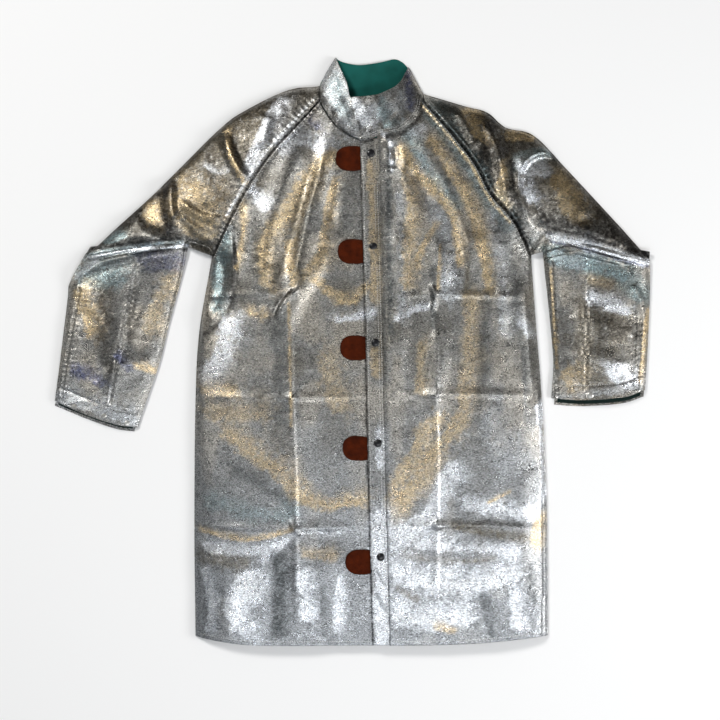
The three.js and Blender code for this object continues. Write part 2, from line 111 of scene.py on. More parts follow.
def even(line, count):
    """The same line in even steps: its points are read off at equal shares of its length."""
    step = np.linalg.norm(np.diff(line, axis=0), axis=1)
    length = np.concatenate([[0], np.cumsum(step)])
    wanted = np.linspace(0, length[-1], count)
    return np.stack([np.interp(wanted, length, line[:, k]) for k in range(line.shape[1])], 1)


def joined(count, *lines):
    """Several lines end to end as one, in even steps."""
    return even(np.vstack([lines[0]] + [line[1:] for line in lines[1:]]), count)


def patch(left, right, bottom, top):
    """A Coons patch: rows between left and right, plus columns between bottom and top, less the corners."""
    u = np.linspace(0, 1, len(bottom))[None, :, None]
    v = np.linspace(0, 1, len(left))[:, None, None]
    rows = (1 - u) * left[:, None] + u * right[:, None]
    columns = (1 - v) * bottom[None] + v * top[None]
    low = (1 - u) * bottom[0] + u * bottom[-1]
    high = (1 - u) * top[0] + u * top[-1]
    return rows + columns - (1 - v) * low - v * high


def nearest(points, line):
    """For each point: its distance to a bent line, its side (+1 left, -1 right), and its share along it.

    The nearest place on each straight piece is at t = (to . run) / (run . run), kept within 0 and 1.
    """
    flat = points[..., :2].reshape(-1, 2)
    best = np.full(len(flat), np.inf)
    side = np.ones(len(flat))
    share = np.zeros(len(flat))
    for k in range(len(line) - 1):
        start, run = line[k], line[k + 1] - line[k]
        to = flat - start
        t = np.clip(to @ run / max(run @ run, 1e-12), 0, 1)
        gap = np.linalg.norm(to - t[:, None] * run, axis=1)
        closer = gap < best
        best = np.where(closer, gap, best)
        side = np.where(closer, np.sign(run[0] * to[:, 1] - run[1] * to[:, 0]), side)
        share = np.where(closer, (k + t) / (len(line) - 1), share)
    shape = points.shape[:-1]
    return best.reshape(shape), side.reshape(shape), share.reshape(shape)


def close_to(points, line, reach):
    """A mask of the points inside the line's own box, grown by a reach."""
    low, high = line.min(0) - reach, line.max(0) + reach
    return np.all((points[..., :2] > low) & (points[..., :2] < high), axis=-1)


def mix(a, b, t):
    """a at t = 0, b at t = 1, and a + (b - a) t between."""
    return a + (b - a) * t


def smooth(low, high, value):
    """0 below low, 1 above high, and 3 t^2 - 2 t^3 between."""
    t = np.clip((value - low) / (high - low), 0, 1)
    return t * t * (3 - 2 * t)


# %% [markdown]
# ## The coat's lines
#
# Every outline and seam is a short list of points in centimetres, from the middle of the frame, as if
# the coat were chalked on a cutting table. `right` is the wearer's right, on the left of the picture.

# %% Outlines and seams
LINES = {
    "hem": [(-26.9, -49.5), (-19, -50.6), (-11.7, -50.8), (4.3, -50.8), (20, -50.5), (33.9, -49.3)],
    "right_side": [(-26.9, -49.5), (-27.1, -30), (-26.9, -8.6), (-26.3, 2.7), (-24.6, 13), (-24.0, 16.4)],
    "left_side": [(33.9, -49.3), (33.7, -27.1), (32.9, -9.5), (31.9, 3.6), (31.2, 13), (31.0, 16.5)],
    "right_raglan": [(-24.0, 16.4), (-20.7, 23), (-17.1, 29.3), (-13.8, 34), (-9.5, 38.8), (-5.6, 43.2)],
    "left_raglan": [(31.0, 16.5), (27.9, 22.5), (24.2, 26.8), (21.5, 31.9), (17.8, 36.8), (12.6, 42.9)],
    "right_neck_seam": [(-5.6, 43.2), (-4.6, 41.3), (-2.4, 38.4), (1.5, 36.2)],
    "left_neck_seam": [(1.6, 36.8), (4.9, 37.9), (7.9, 38), (10.1, 39.3), (11.8, 41.5), (12.6, 42.9)],
    "right_over": [
        *[(-5.6, 45.6), (-11.1, 44.9), (-18.4, 41.4), (-22.7, 38.3)],
        *[(-30.7, 30.4), (-35, 26.2), (-45.4, 16.9)],
    ],
    "left_over": [
        *[(12.4, 44.3), (19.5, 42.2), (23.4, 41.1), (26.6, 38.5)],
        *[(31.3, 37.2), (36.5, 32), (51.4, 16)],
    ],
    "right_under": [(-24.0, 16.4), (-24.6, 17.7), (-26.4, 18.4), (-28.4, 18.9)],
    "left_under": [(31.0, 16.5), (31.6, 17.6), (32.8, 19.1), (34.0, 20.4)],
    "right_elbow": [(-45.4, 16.9), (-40, 17.7), (-34, 18.4), (-28.4, 18.9)],
    "left_elbow": [(51.4, 16), (46, 17.2), (40, 19), (34.0, 20.4)],
    "right_outer": [(-45.4, 16.9), (-48.6, 11.9), (-49.1, 8.8), (-50.3, -1), (-51.5, -9.6)],
    "left_outer": [(51.4, 16), (51.6, 12), (51.5, 7), (51.1, -2), (50.7, -8.0)],
    "right_inner": [(-28.4, 18.9), (-29.6, 12.9), (-31.7, 5), (-33.5, -2.2), (-35.9, -9.2), (-37.5, -14.1)],
    "left_inner": [(34.0, 20.4), (33.4, 17), (34.1, 10), (34.7, 4), (35.2, -3.1), (34.9, -9.4)],
    "right_cuff": [(-51.5, -9.6), (-46, -11.9), (-41, -13.6), (-37.5, -14.1)],
    "left_cuff": [(50.7, -8.0), (47, -9.2), (40, -9.7), (34.9, -9.4)],
    "right_collar_side": [(-5.6, 45.6), (-4.4, 48), (-2.8, 50.6)],
    "left_collar_side": [(12.4, 44.3), (11.2, 46.5), (9.9, 48.9)],
    "collar_back_top": [
        *[(-2.8, 50.6), (-1.2, 49.9), (1.4, 49.5), (4.7, 49.9)],
        *[(7.4, 50.5), (8.8, 50.0), (9.9, 48.9)],
    ],
    "left_collar_foot": [
        *[(1.5, 36.1), (3.2, 36.3), (4.9, 37.0), (7.9, 37.6)],
        *[(10.1, 39.0), (11.8, 41.3), (12.4, 44.3)],
    ],
    "right_collar_foot": [(-5.6, 45.6), (-5.2, 42.6), (-2.4, 38.4), (1.7, 36.1)],
    "right_collar_mouth": [(-2.8, 50.6), (-1.9, 48.4), (-0.8, 46), (-0.3, 43.5)],
    "left_collar_mouth": [(0.0, 43.4), (3.6, 43.7), (5.6, 44.3), (8.2, 45.9), (9.9, 48.9)],
    "band_front": [(3.72, -50.8), (3.3, -35), (2.75, -12.7), (2.5, 1.7), (2.0, 20), (1.55, 36.5)],
}


def chalk(name, count=40):
    """A named line of the coat, in even steps."""
    return curve(LINES[name], count)


silhouettes = [
    joined(120, chalk("right_side"), chalk("right_under"), chalk("right_inner")),
    joined(120, chalk("left_side"), chalk("left_under"), chalk("left_inner")),
    joined(120, chalk("right_collar_side")[::-1], chalk("right_over"), chalk("right_outer")),
    joined(120, chalk("left_collar_side")[::-1], chalk("left_over"), chalk("left_outer")),
]
print("outline drawn:", len(LINES), "lines")

# %% [markdown]
# ## One height for the whole coat
#
# Two layers of cloth with a little air between them stand up like a flat cushion: low and round at
# each side fold, and almost level across the middle. A quarter of an ellipse gives that shape. All
# pieces read their height from this one function, so the seams between them meet by themselves.

# %% Height of the cloth
FOLD = 4.7 * MM  # top of a side fold
ROUND = 100 * MM  # how far in the cloth reaches its full height
CROWN = {"neck": 34 * MM, "hem": 28 * MM, "elbow": 24 * MM, "cuff": 20 * MM}
BODY_MIDDLE = 3.5 * CM
HEM_Y = cad_low.y
TOP_Y = cad_high.y
ARMPIT_Y = 16.6 * CM


def crown_height(xy):
    """Level height of the cloth: highest at the neck, falling to the hem, the elbows and the cuffs."""
    x, y = xy[..., 0], xy[..., 1]
    body = mix(CROWN["hem"], CROWN["neck"], (y - HEM_Y) / (TOP_Y - HEM_Y))
    reach = np.abs(x - BODY_MIDDLE)
    shoulder = mix(body, CROWN["elbow"], np.clip((reach - 16.5 * CM) / (32.5 * CM), 0, 1))
    down = np.where((reach > 29.5 * CM) & (y < ARMPIT_Y), np.clip((ARMPIT_Y - y) / (30 * CM), 0, 1), 0)
    return mix(shoulder, CROWN["cuff"], down)


def plain_height(xy):
    """Fold height, plus the rest of the crown times sqrt(1 - (1 - d)^2), for a share d of the way in."""
    inward = np.min([nearest(xy, line)[0] for line in silhouettes], axis=0)
    share = np.clip(inward / ROUND, 0, 1)
    return FOLD + (crown_height(xy) - FOLD) * np.sqrt(1 - (1 - share) ** 2)


# %% [markdown]
# ## Folds
#
# Metal-faced cloth is stiff. It breaks into long soft folds where it is pulled, as from the neck down
# the chest, and keeps the sharp creases of its packing. A fold here is a ridge along a line: the
# height falls off as a bell curve of the distance to the line, steeper on one side than on the other,
# and dies away at both ends. The numbers are its height, its width on each side, both in millimetres.

# %% Folds
FOLDS = [
    # tension from the neck down the wearer's right chest
    (5.5, 22, 12, [(-4, 37), (-5.5, 30), (-7.5, 22), (-9.5, 12), (-10, 9)]),
    (4.5, 16, 24, [(-8.5, 36), (-12.5, 27), (-15, 16), (-15.5, 8)]),
    (3.5, 14, 20, [(-3.5, 24), (-6, 14), (-9.5, 8.5), (-12, 3)]),
    (3.0, 26, 12, [(-17, 26), (-19, 16), (-19.5, 8)]),
    (-3.0, 12, 16, [(-7, 33), (-10, 22), (-12.3, 12)]),
    (-2.5, 12, 14, [(-2.5, 33), (-3.8, 22), (-6.5, 14)]),
    # and down the wearer's left chest
    (5.0, 16, 24, [(7.9, 35), (10.8, 27), (13.6, 20), (15.4, 15), (15.8, 8)]),
    (4.0, 22, 12, [(10.5, 37), (15.5, 30), (19.5, 21), (21, 12)]),
    (3.5, 18, 26, [(7.5, 24), (8.5, 14), (8, 2), (7.5, -10)]),
    (3.0, 14, 20, [(15.8, 6), (15, -5), (13, -14)]),
    (-3.0, 14, 14, [(9.8, 33), (12.8, 24), (14.3, 17)]),
    (-2.6, 14, 18, [(13, 36), (18, 27), (21, 19)]),
    (3.2, 22, 16, [(24, 22), (26, 12), (25.5, 2)]),
    # the hollow beside the closure
    (-4.0, 10, 12, [(6.7, 36), (7.3, 33.5), (7.2, 31)]),
    (3.5, 6, 8, [(5.4, 37.2), (6.4, 34.5), (6.8, 31.5)]),
    # leaf-shaped fold under the right armpit and its partner on the left
    (5.5, 5, 22, [(-20.8, 20.5), (-20.3, 14), (-21.2, 9.5), (-25.4, 2.8)]),
    (-3.5, 14, 9, [(-22.2, 17), (-22.2, 11), (-24.5, 5.5)]),
    (3.0, 8, 18, [(29.2, 13), (30, 4), (31, -8)]),
    # packing creases, upright and level
    (1.8, 3, 8, [(-10.4, 9.5), (-10.2, -6), (-9.6, -24), (-9.3, -48)]),
    (1.7, 3, 8, [(14.5, 9.5), (14.7, -8), (14.8, -30), (14.6, -48)]),
    (1.5, 8, 3, [(-26, 9), (-16, 9.6), (-10.4, 9.4)]),
    (1.4, 8, 3, [(8, 9.2), (14.5, 9.5), (30, 9)]),
    (1.5, 8, 4, [(-26, -8), (-14, -8.3), (1, -8)]),
    (1.4, 8, 4, [(8, -8), (20, -7.6), (32, -8)]),
    (1.6, 8, 4, [(-26, -30.4), (-12, -30.8), (2, -30.5)]),
    (1.5, 8, 4, [(8, -30.6), (20, -30.2), (33, -30.8)]),
    # knots where the packing creases cross
    (3.4, 4, 7, [(-13.2, 5.2), (-11.2, 8.8), (-8.8, 11)]),
    (3.2, 5, 5, [(13.4, 11.5), (14.4, 9.4), (13.8, 6.5)]),
    (2.4, 5, 5, [(-10.6, -29), (-9.6, -31), (-8.4, -32)]),
    (2.2, 5, 5, [(14.2, -29.4), (15.2, -31)]),
    # wearer's right sleeve: folds towards the underarm
    (4.6, 7, 12, [(-22, 37.6), (-20.4, 33), (-18, 29.2)]),
    (5.2, 7, 14, [(-31.2, 29.6), (-31, 25), (-30, 20.4)]),
    (3.0, 7, 9, [(-30, 26), (-26, 23.2), (-22, 22.6)]),
    (2.8, 6, 8, [(-30, 23.4), (-26.5, 21), (-22.8, 20.6)]),
    (2.6, 6, 6, [(-28, 20.9), (-25, 19.4), (-23.4, 18.6)]),
    (3.6, 14, 16, [(-38, 23), (-36, 20.5), (-33, 19.3)]),
    (3.4, 16, 12, [(-43, 18.8), (-38, 19.6), (-31, 19.6)]),
    (2.6, 10, 14, [(-14, 41), (-15, 37), (-15.2, 34.5)]),
    # wearer's left sleeve: the drape from the shoulder and the curl round the upper arm
    (5.0, 14, 10, [(23, 40), (25.3, 34), (26.6, 27), (27.4, 24)]),
    (6.0, 7, 16, [(39, 32), (33.5, 34.2), (29.4, 32), (28.9, 26.5), (31.2, 20.8)]),
    (-4.0, 10, 10, [(28.2, 32), (28.0, 27), (29.2, 22)]),
    (4.0, 18, 16, [(36, 21.8), (43, 20.2), (48, 18)]),
    (3.5, 22, 22, [(33, 29), (38, 26), (40, 22)]),
    (2.8, 10, 10, [(18, 42), (20.6, 37), (21.8, 34)]),
    # forearms
    (2.4, 14, 18, [(-47, 12), (-42, 3), (-40, -6)]),
    (2.2, 12, 14, [(-34, 12), (-38, 2), (-42, -8)]),
    (2.4, 14, 12, [(-33.8, -2.4), (-38, -2.2), (-43.5, -6)]),
    (2.2, 14, 16, [(37, 6), (42, 4.8), (49, 2.5)]),
    (2.0, 12, 16, [(36, -2), (42, -1), (48, -3.5)]),
    # hem corners
    (2.4, 20, 24, [(-24, -34), (-21, -42), (-22, -49)]),
    (2.6, 24, 22, [(-3, -33), (-5.5, -42), (-6, -50)]),
    (2.8, 26, 22, [(20, -32), (23, -41), (22, -50)]),
    (2.4, 18, 22, [(30, -20), (29.6, -32), (31, -44)]),
]


FOLD_GAIN = 1.5  # how much stronger all folds are than their table says
FOLD_TAPER = (-0.04, 0.22)  # the share of a fold's length in which it rises from nothing


def fold_height(xy):
    """Sum of the ridges: height times exp(-(d / width)^2), times a taper that falls to 0 at both ends."""
    total = np.zeros(xy.shape[:-1])
    for high, left_width, right_width, points in FOLDS:
        line = curve(points, 16)
        here = close_to(xy, line, 3 * max(left_width, right_width) * MM)
        if not here.any():
            continue
        gap, side, share = nearest(xy[here], line)
        width = np.where(side > 0, left_width, right_width) * MM
        taper = smooth(*FOLD_TAPER, share) * smooth(*FOLD_TAPER, 1 - share)
        total[here] += FOLD_GAIN * high * MM * np.exp(-((gap / width) ** 2)) * taper
    return total


# %% [markdown]
# ## Crumple
#
# Between the folds the foil is never smooth. A grid of seeded random numbers, read smoothly between
# its points, makes soft lumps; taking one minus its absolute value turns the lumps into thin ridges,
# which is how crushed foil looks. The same seed gives the same coat on every run.


# %% Seeded crumple
def soft_noise(xy, cell, seed):
    """Random heights on a grid of cells, blended between the four corners of each cell with 3 t^2 - 2 t^3."""
    table = np.random.default_rng(seed).standard_normal((64, 64))
    place = xy / cell + 512.37
    whole = np.floor(place).astype(int)
    part = place - whole
    part = part * part * (3 - 2 * part)
    i, j = whole[..., 0] % 64, whole[..., 1] % 64
    i2, j2 = (i + 1) % 64, (j + 1) % 64
    low = mix(table[i, j], table[i2, j], part[..., 0])
    high = mix(table[i, j2], table[i2, j2], part[..., 0])
    return mix(low, high, part[..., 1])


def crumple(xy):
    """Ridges of crushed foil: 1 - |noise| at three sizes, bent a little by a slower noise."""
    bend = np.stack([soft_noise(xy, 3.1 * CM, 5), soft_noise(xy, 3.1 * CM, 6)], -1) * 6 * MM
    big = soft_noise(xy + bend, 5.2 * CM, 11)
    middle = 1 - np.abs(soft_noise(xy * [1, 1.35] + bend, 2.4 * CM, 12))
    small = 1 - np.abs(soft_noise(xy * [1, 1.5] + bend, 1.1 * CM, 13))
    tiny = 1 - np.abs(soft_noise(xy * [0.8, 1.6] + bend, 0.55 * CM, 14))
    return (0.75 * big + 0.34 * middle + 0.15 * small + 0.06 * tiny) * MM


# %% [markdown]
# ## Seams
#
# A sewn seam draws the cloth down into a groove, with a raised welt beside it where the seam
# allowance lies under the cloth, and small puckers along both. The same line serves both pieces.

# %% Seam lines
SEAMS = {
    "right_raglan": LINES["right_raglan"],
    "left_raglan": LINES["left_raglan"],
    "right_forearm_middle": [(-36.6, 16.4), (-38.6, 6), (-41.8, -9.2)],
    "right_forearm_outer": [(-47.0, 10.6), (-48.8, 1), (-50.2, -7.6)],
    "left_forearm_middle": [(40.8, 17.2), (40.6, 5), (40.4, -7.8)],
    "left_forearm_outer": [(50.2, 8.6), (49.9, 1), (49.5, -6.6)],
    "left_forearm_inner": [(34.6, 15), (35.2, 4), (35.7, -8)],
}
PUCKER_STEP = 9 * MM


def seam_height(xy):
    """Groove on the seam, welt beside it, and ripples that die away: cos(2 pi s / step) exp(-d / reach)."""
    total = np.zeros(xy.shape[:-1])
    for name, points in SEAMS.items():
        line = curve(points, 40)
        gap, _, share = nearest(xy, line)
        raglan = "raglan" in name
        length = np.linalg.norm(np.diff(line, axis=0), axis=1).sum()
        depth, welt = (1.9, 1.5) if raglan else (1.0, 0.9)
        total -= depth * MM * np.exp(-((gap / (2.2 * MM)) ** 2))
        total += welt * MM * np.exp(-(((gap - 5 * MM) / (3.2 * MM)) ** 2))
        wander = soft_noise(xy, 2.2 * CM, 31) * 1.6
        ripple = np.cos(2 * np.pi * share * length / PUCKER_STEP + wander)
        total += (1.0 if raglan else 0.3) * MM * ripple * np.exp(-gap / (9 * MM))
    return total


# %% [markdown]
# The wearer's right front lies lower under the leather tabs and lower still under the placket, so
# that tabs and snaps have room. Near the closure the folds and the crumple are calmed as well.

# %% Closure and full height
BAND_WIDTH = 2.9 * CM
band_front_line = chalk("band_front", 60)
TAB_DROP = 4.8 * MM
STUD_DROP = 8.2 * MM


def band_front_x(y):
    """Where the placket's front edge is at height y up the coat."""
    return np.interp(y, band_front_line[:, 1], band_front_line[:, 0])


def cloth_height(xy):
    """Plain height plus folds, crumple and seams; folds and crumple are calmed at closure and low edges."""
    plain = plain_height(xy)
    from_band = np.abs(xy[..., 0] - band_front_x(xy[..., 1]) - BAND_WIDTH / 2) - BAND_WIDTH / 2
    on_body = xy[..., 1] < 37 * CM
    calm = np.where(on_body, smooth(-2 * MM, 30 * MM, from_band), 1)
    raised = smooth(FOLD * 0.9, FOLD * 3.2, plain)
    lift = (fold_height(xy) + crumple(xy)) * mix(0.12, 1, calm) * mix(0.35, 1, raised)
    return np.maximum(plain + lift + seam_height(xy) * raised, 3 * MM)


def closure_drop(xy):
    """How far the right front is let down: to the studs' level under the band, to the tabs' beside it."""
    before = band_front_x(xy[..., 1]) - xy[..., 0]
    under_band = mix(TAB_DROP, STUD_DROP, smooth(0, 4 * MM, -before))
    beside = TAB_DROP * smooth(0, 1, (130 * MM - before) / (52 * MM))
    return np.where(before < 0, under_band, beside)


# %% [markdown]
# ## From grid to cloth
#
# `cloth_mesh` turns a grid of places into a mesh. Before that, `turn_edge` finishes an edge the way
# a tailor does: `roll` turns it round to the underside in a half circle and leaves a flap there, and
# `drop` lets it down into a seam.

# %% Grids into meshes
EDGE_RADIUS = 1.9 * MM


def facing(grid, side):
    """The grid turned so that the wanted edge is its first column, and the way to turn it back."""
    turns = {
        "left": (lambda g: g, lambda g: g),
        "right": (lambda g: g[:, ::-1], lambda g: g[:, ::-1]),
        "bottom": (lambda g: g.transpose(1, 0, 2), lambda g: g.transpose(1, 0, 2)),
        "top": (lambda g: g[::-1].transpose(1, 0, 2), lambda g: g.transpose(1, 0, 2)[::-1]),
    }
    there, back = turns[side]
    return there(grid), back


def turn_edge(grid, side, how, size=EDGE_RADIUS, flap=10 * MM):
    """roll: half a circle, out r sin(a) and down r (1 - cos(a)), then a flap. drop: a short wall down."""
    turned, back = facing(grid, side)
    edge = turned[:, 0]
    outward = edge[:, :2] - turned[:, 2, :2]
    outward = outward / np.maximum(np.linalg.norm(outward, axis=1, keepdims=True), 1e-9)
    columns = []
    if how == "roll":
        for angle in np.radians([30, 60, 90, 120, 150, 180]):
            xy = edge[:, :2] + outward * size * np.sin(angle)
            columns.append(np.column_stack([xy, edge[:, 2] - size * (1 - np.cos(angle))]))
        under = np.maximum(edge[:, 2] - 2 * size, 0.6 * MM)
        columns.append(np.column_stack([edge[:, :2] - outward * flap, under]))
    else:
        columns.append(np.column_stack([edge[:, :2], edge[:, 2] - size * 0.5]))
        columns.append(np.column_stack([edge[:, :2], edge[:, 2] - size]))
    turned_in = np.stack(columns[::-1], 1)
    turned_in[..., 2] = np.maximum(turned_in[..., 2], 0.4 * MM)
    return back(np.concatenate([turned_in, turned], 1))


def cloth_mesh(name, grid, material, up=True, ring=False):
    """One vertex for each place of the grid and one face between each four, the middle facing up or down."""
    rows, cols = grid.shape[:2]
    index = np.arange(rows * cols).reshape(rows, cols)
    if ring:
        index = np.hstack([index, index[:, :1]])
    quads = np.stack([index[:-1, :-1], index[:-1, 1:], index[1:, 1:], index[1:, :-1]], -1).reshape(-1, 4)
    flat = grid.reshape(-1, 3)
    across = flat[quads[:, 1]] - flat[quads[:, 0]]
    along = flat[quads[:, 3]] - flat[quads[:, 0]]
    upward = np.cross(across, along)[len(quads) // 3 : -len(quads) // 3, 2].sum() > 0
    if upward != up:
        quads = quads[:, ::-1]
    return mesh_object(name, flat, quads, material)


def mesh_object(name, places, faces, material):
    """A smooth object at the origin from arrays of places and faces, with its painted reflections and shade
    laid on.
    """
    mesh = bpy.data.meshes.new(name)
    corners = faces.shape[1]
    mesh.vertices.add(len(places))
    mesh.vertices.foreach_set("co", places.astype(np.float32).ravel())
    mesh.loops.add(faces.size)
    mesh.loops.foreach_set("vertex_index", faces.astype(np.int32).ravel())
    mesh.polygons.add(len(faces))
    mesh.polygons.foreach_set("loop_start", np.arange(0, faces.size, corners, dtype=np.int32))
    mesh.update(calc_edges=True)
    mesh.validate()
    mesh.shade_smooth()
    thing = bpy.data.objects.new(name, mesh)
    bpy.context.scene.collection.objects.link(thing)
    mesh.materials.append(material)
    paint_light_on_mesh(mesh, places)
    return thing
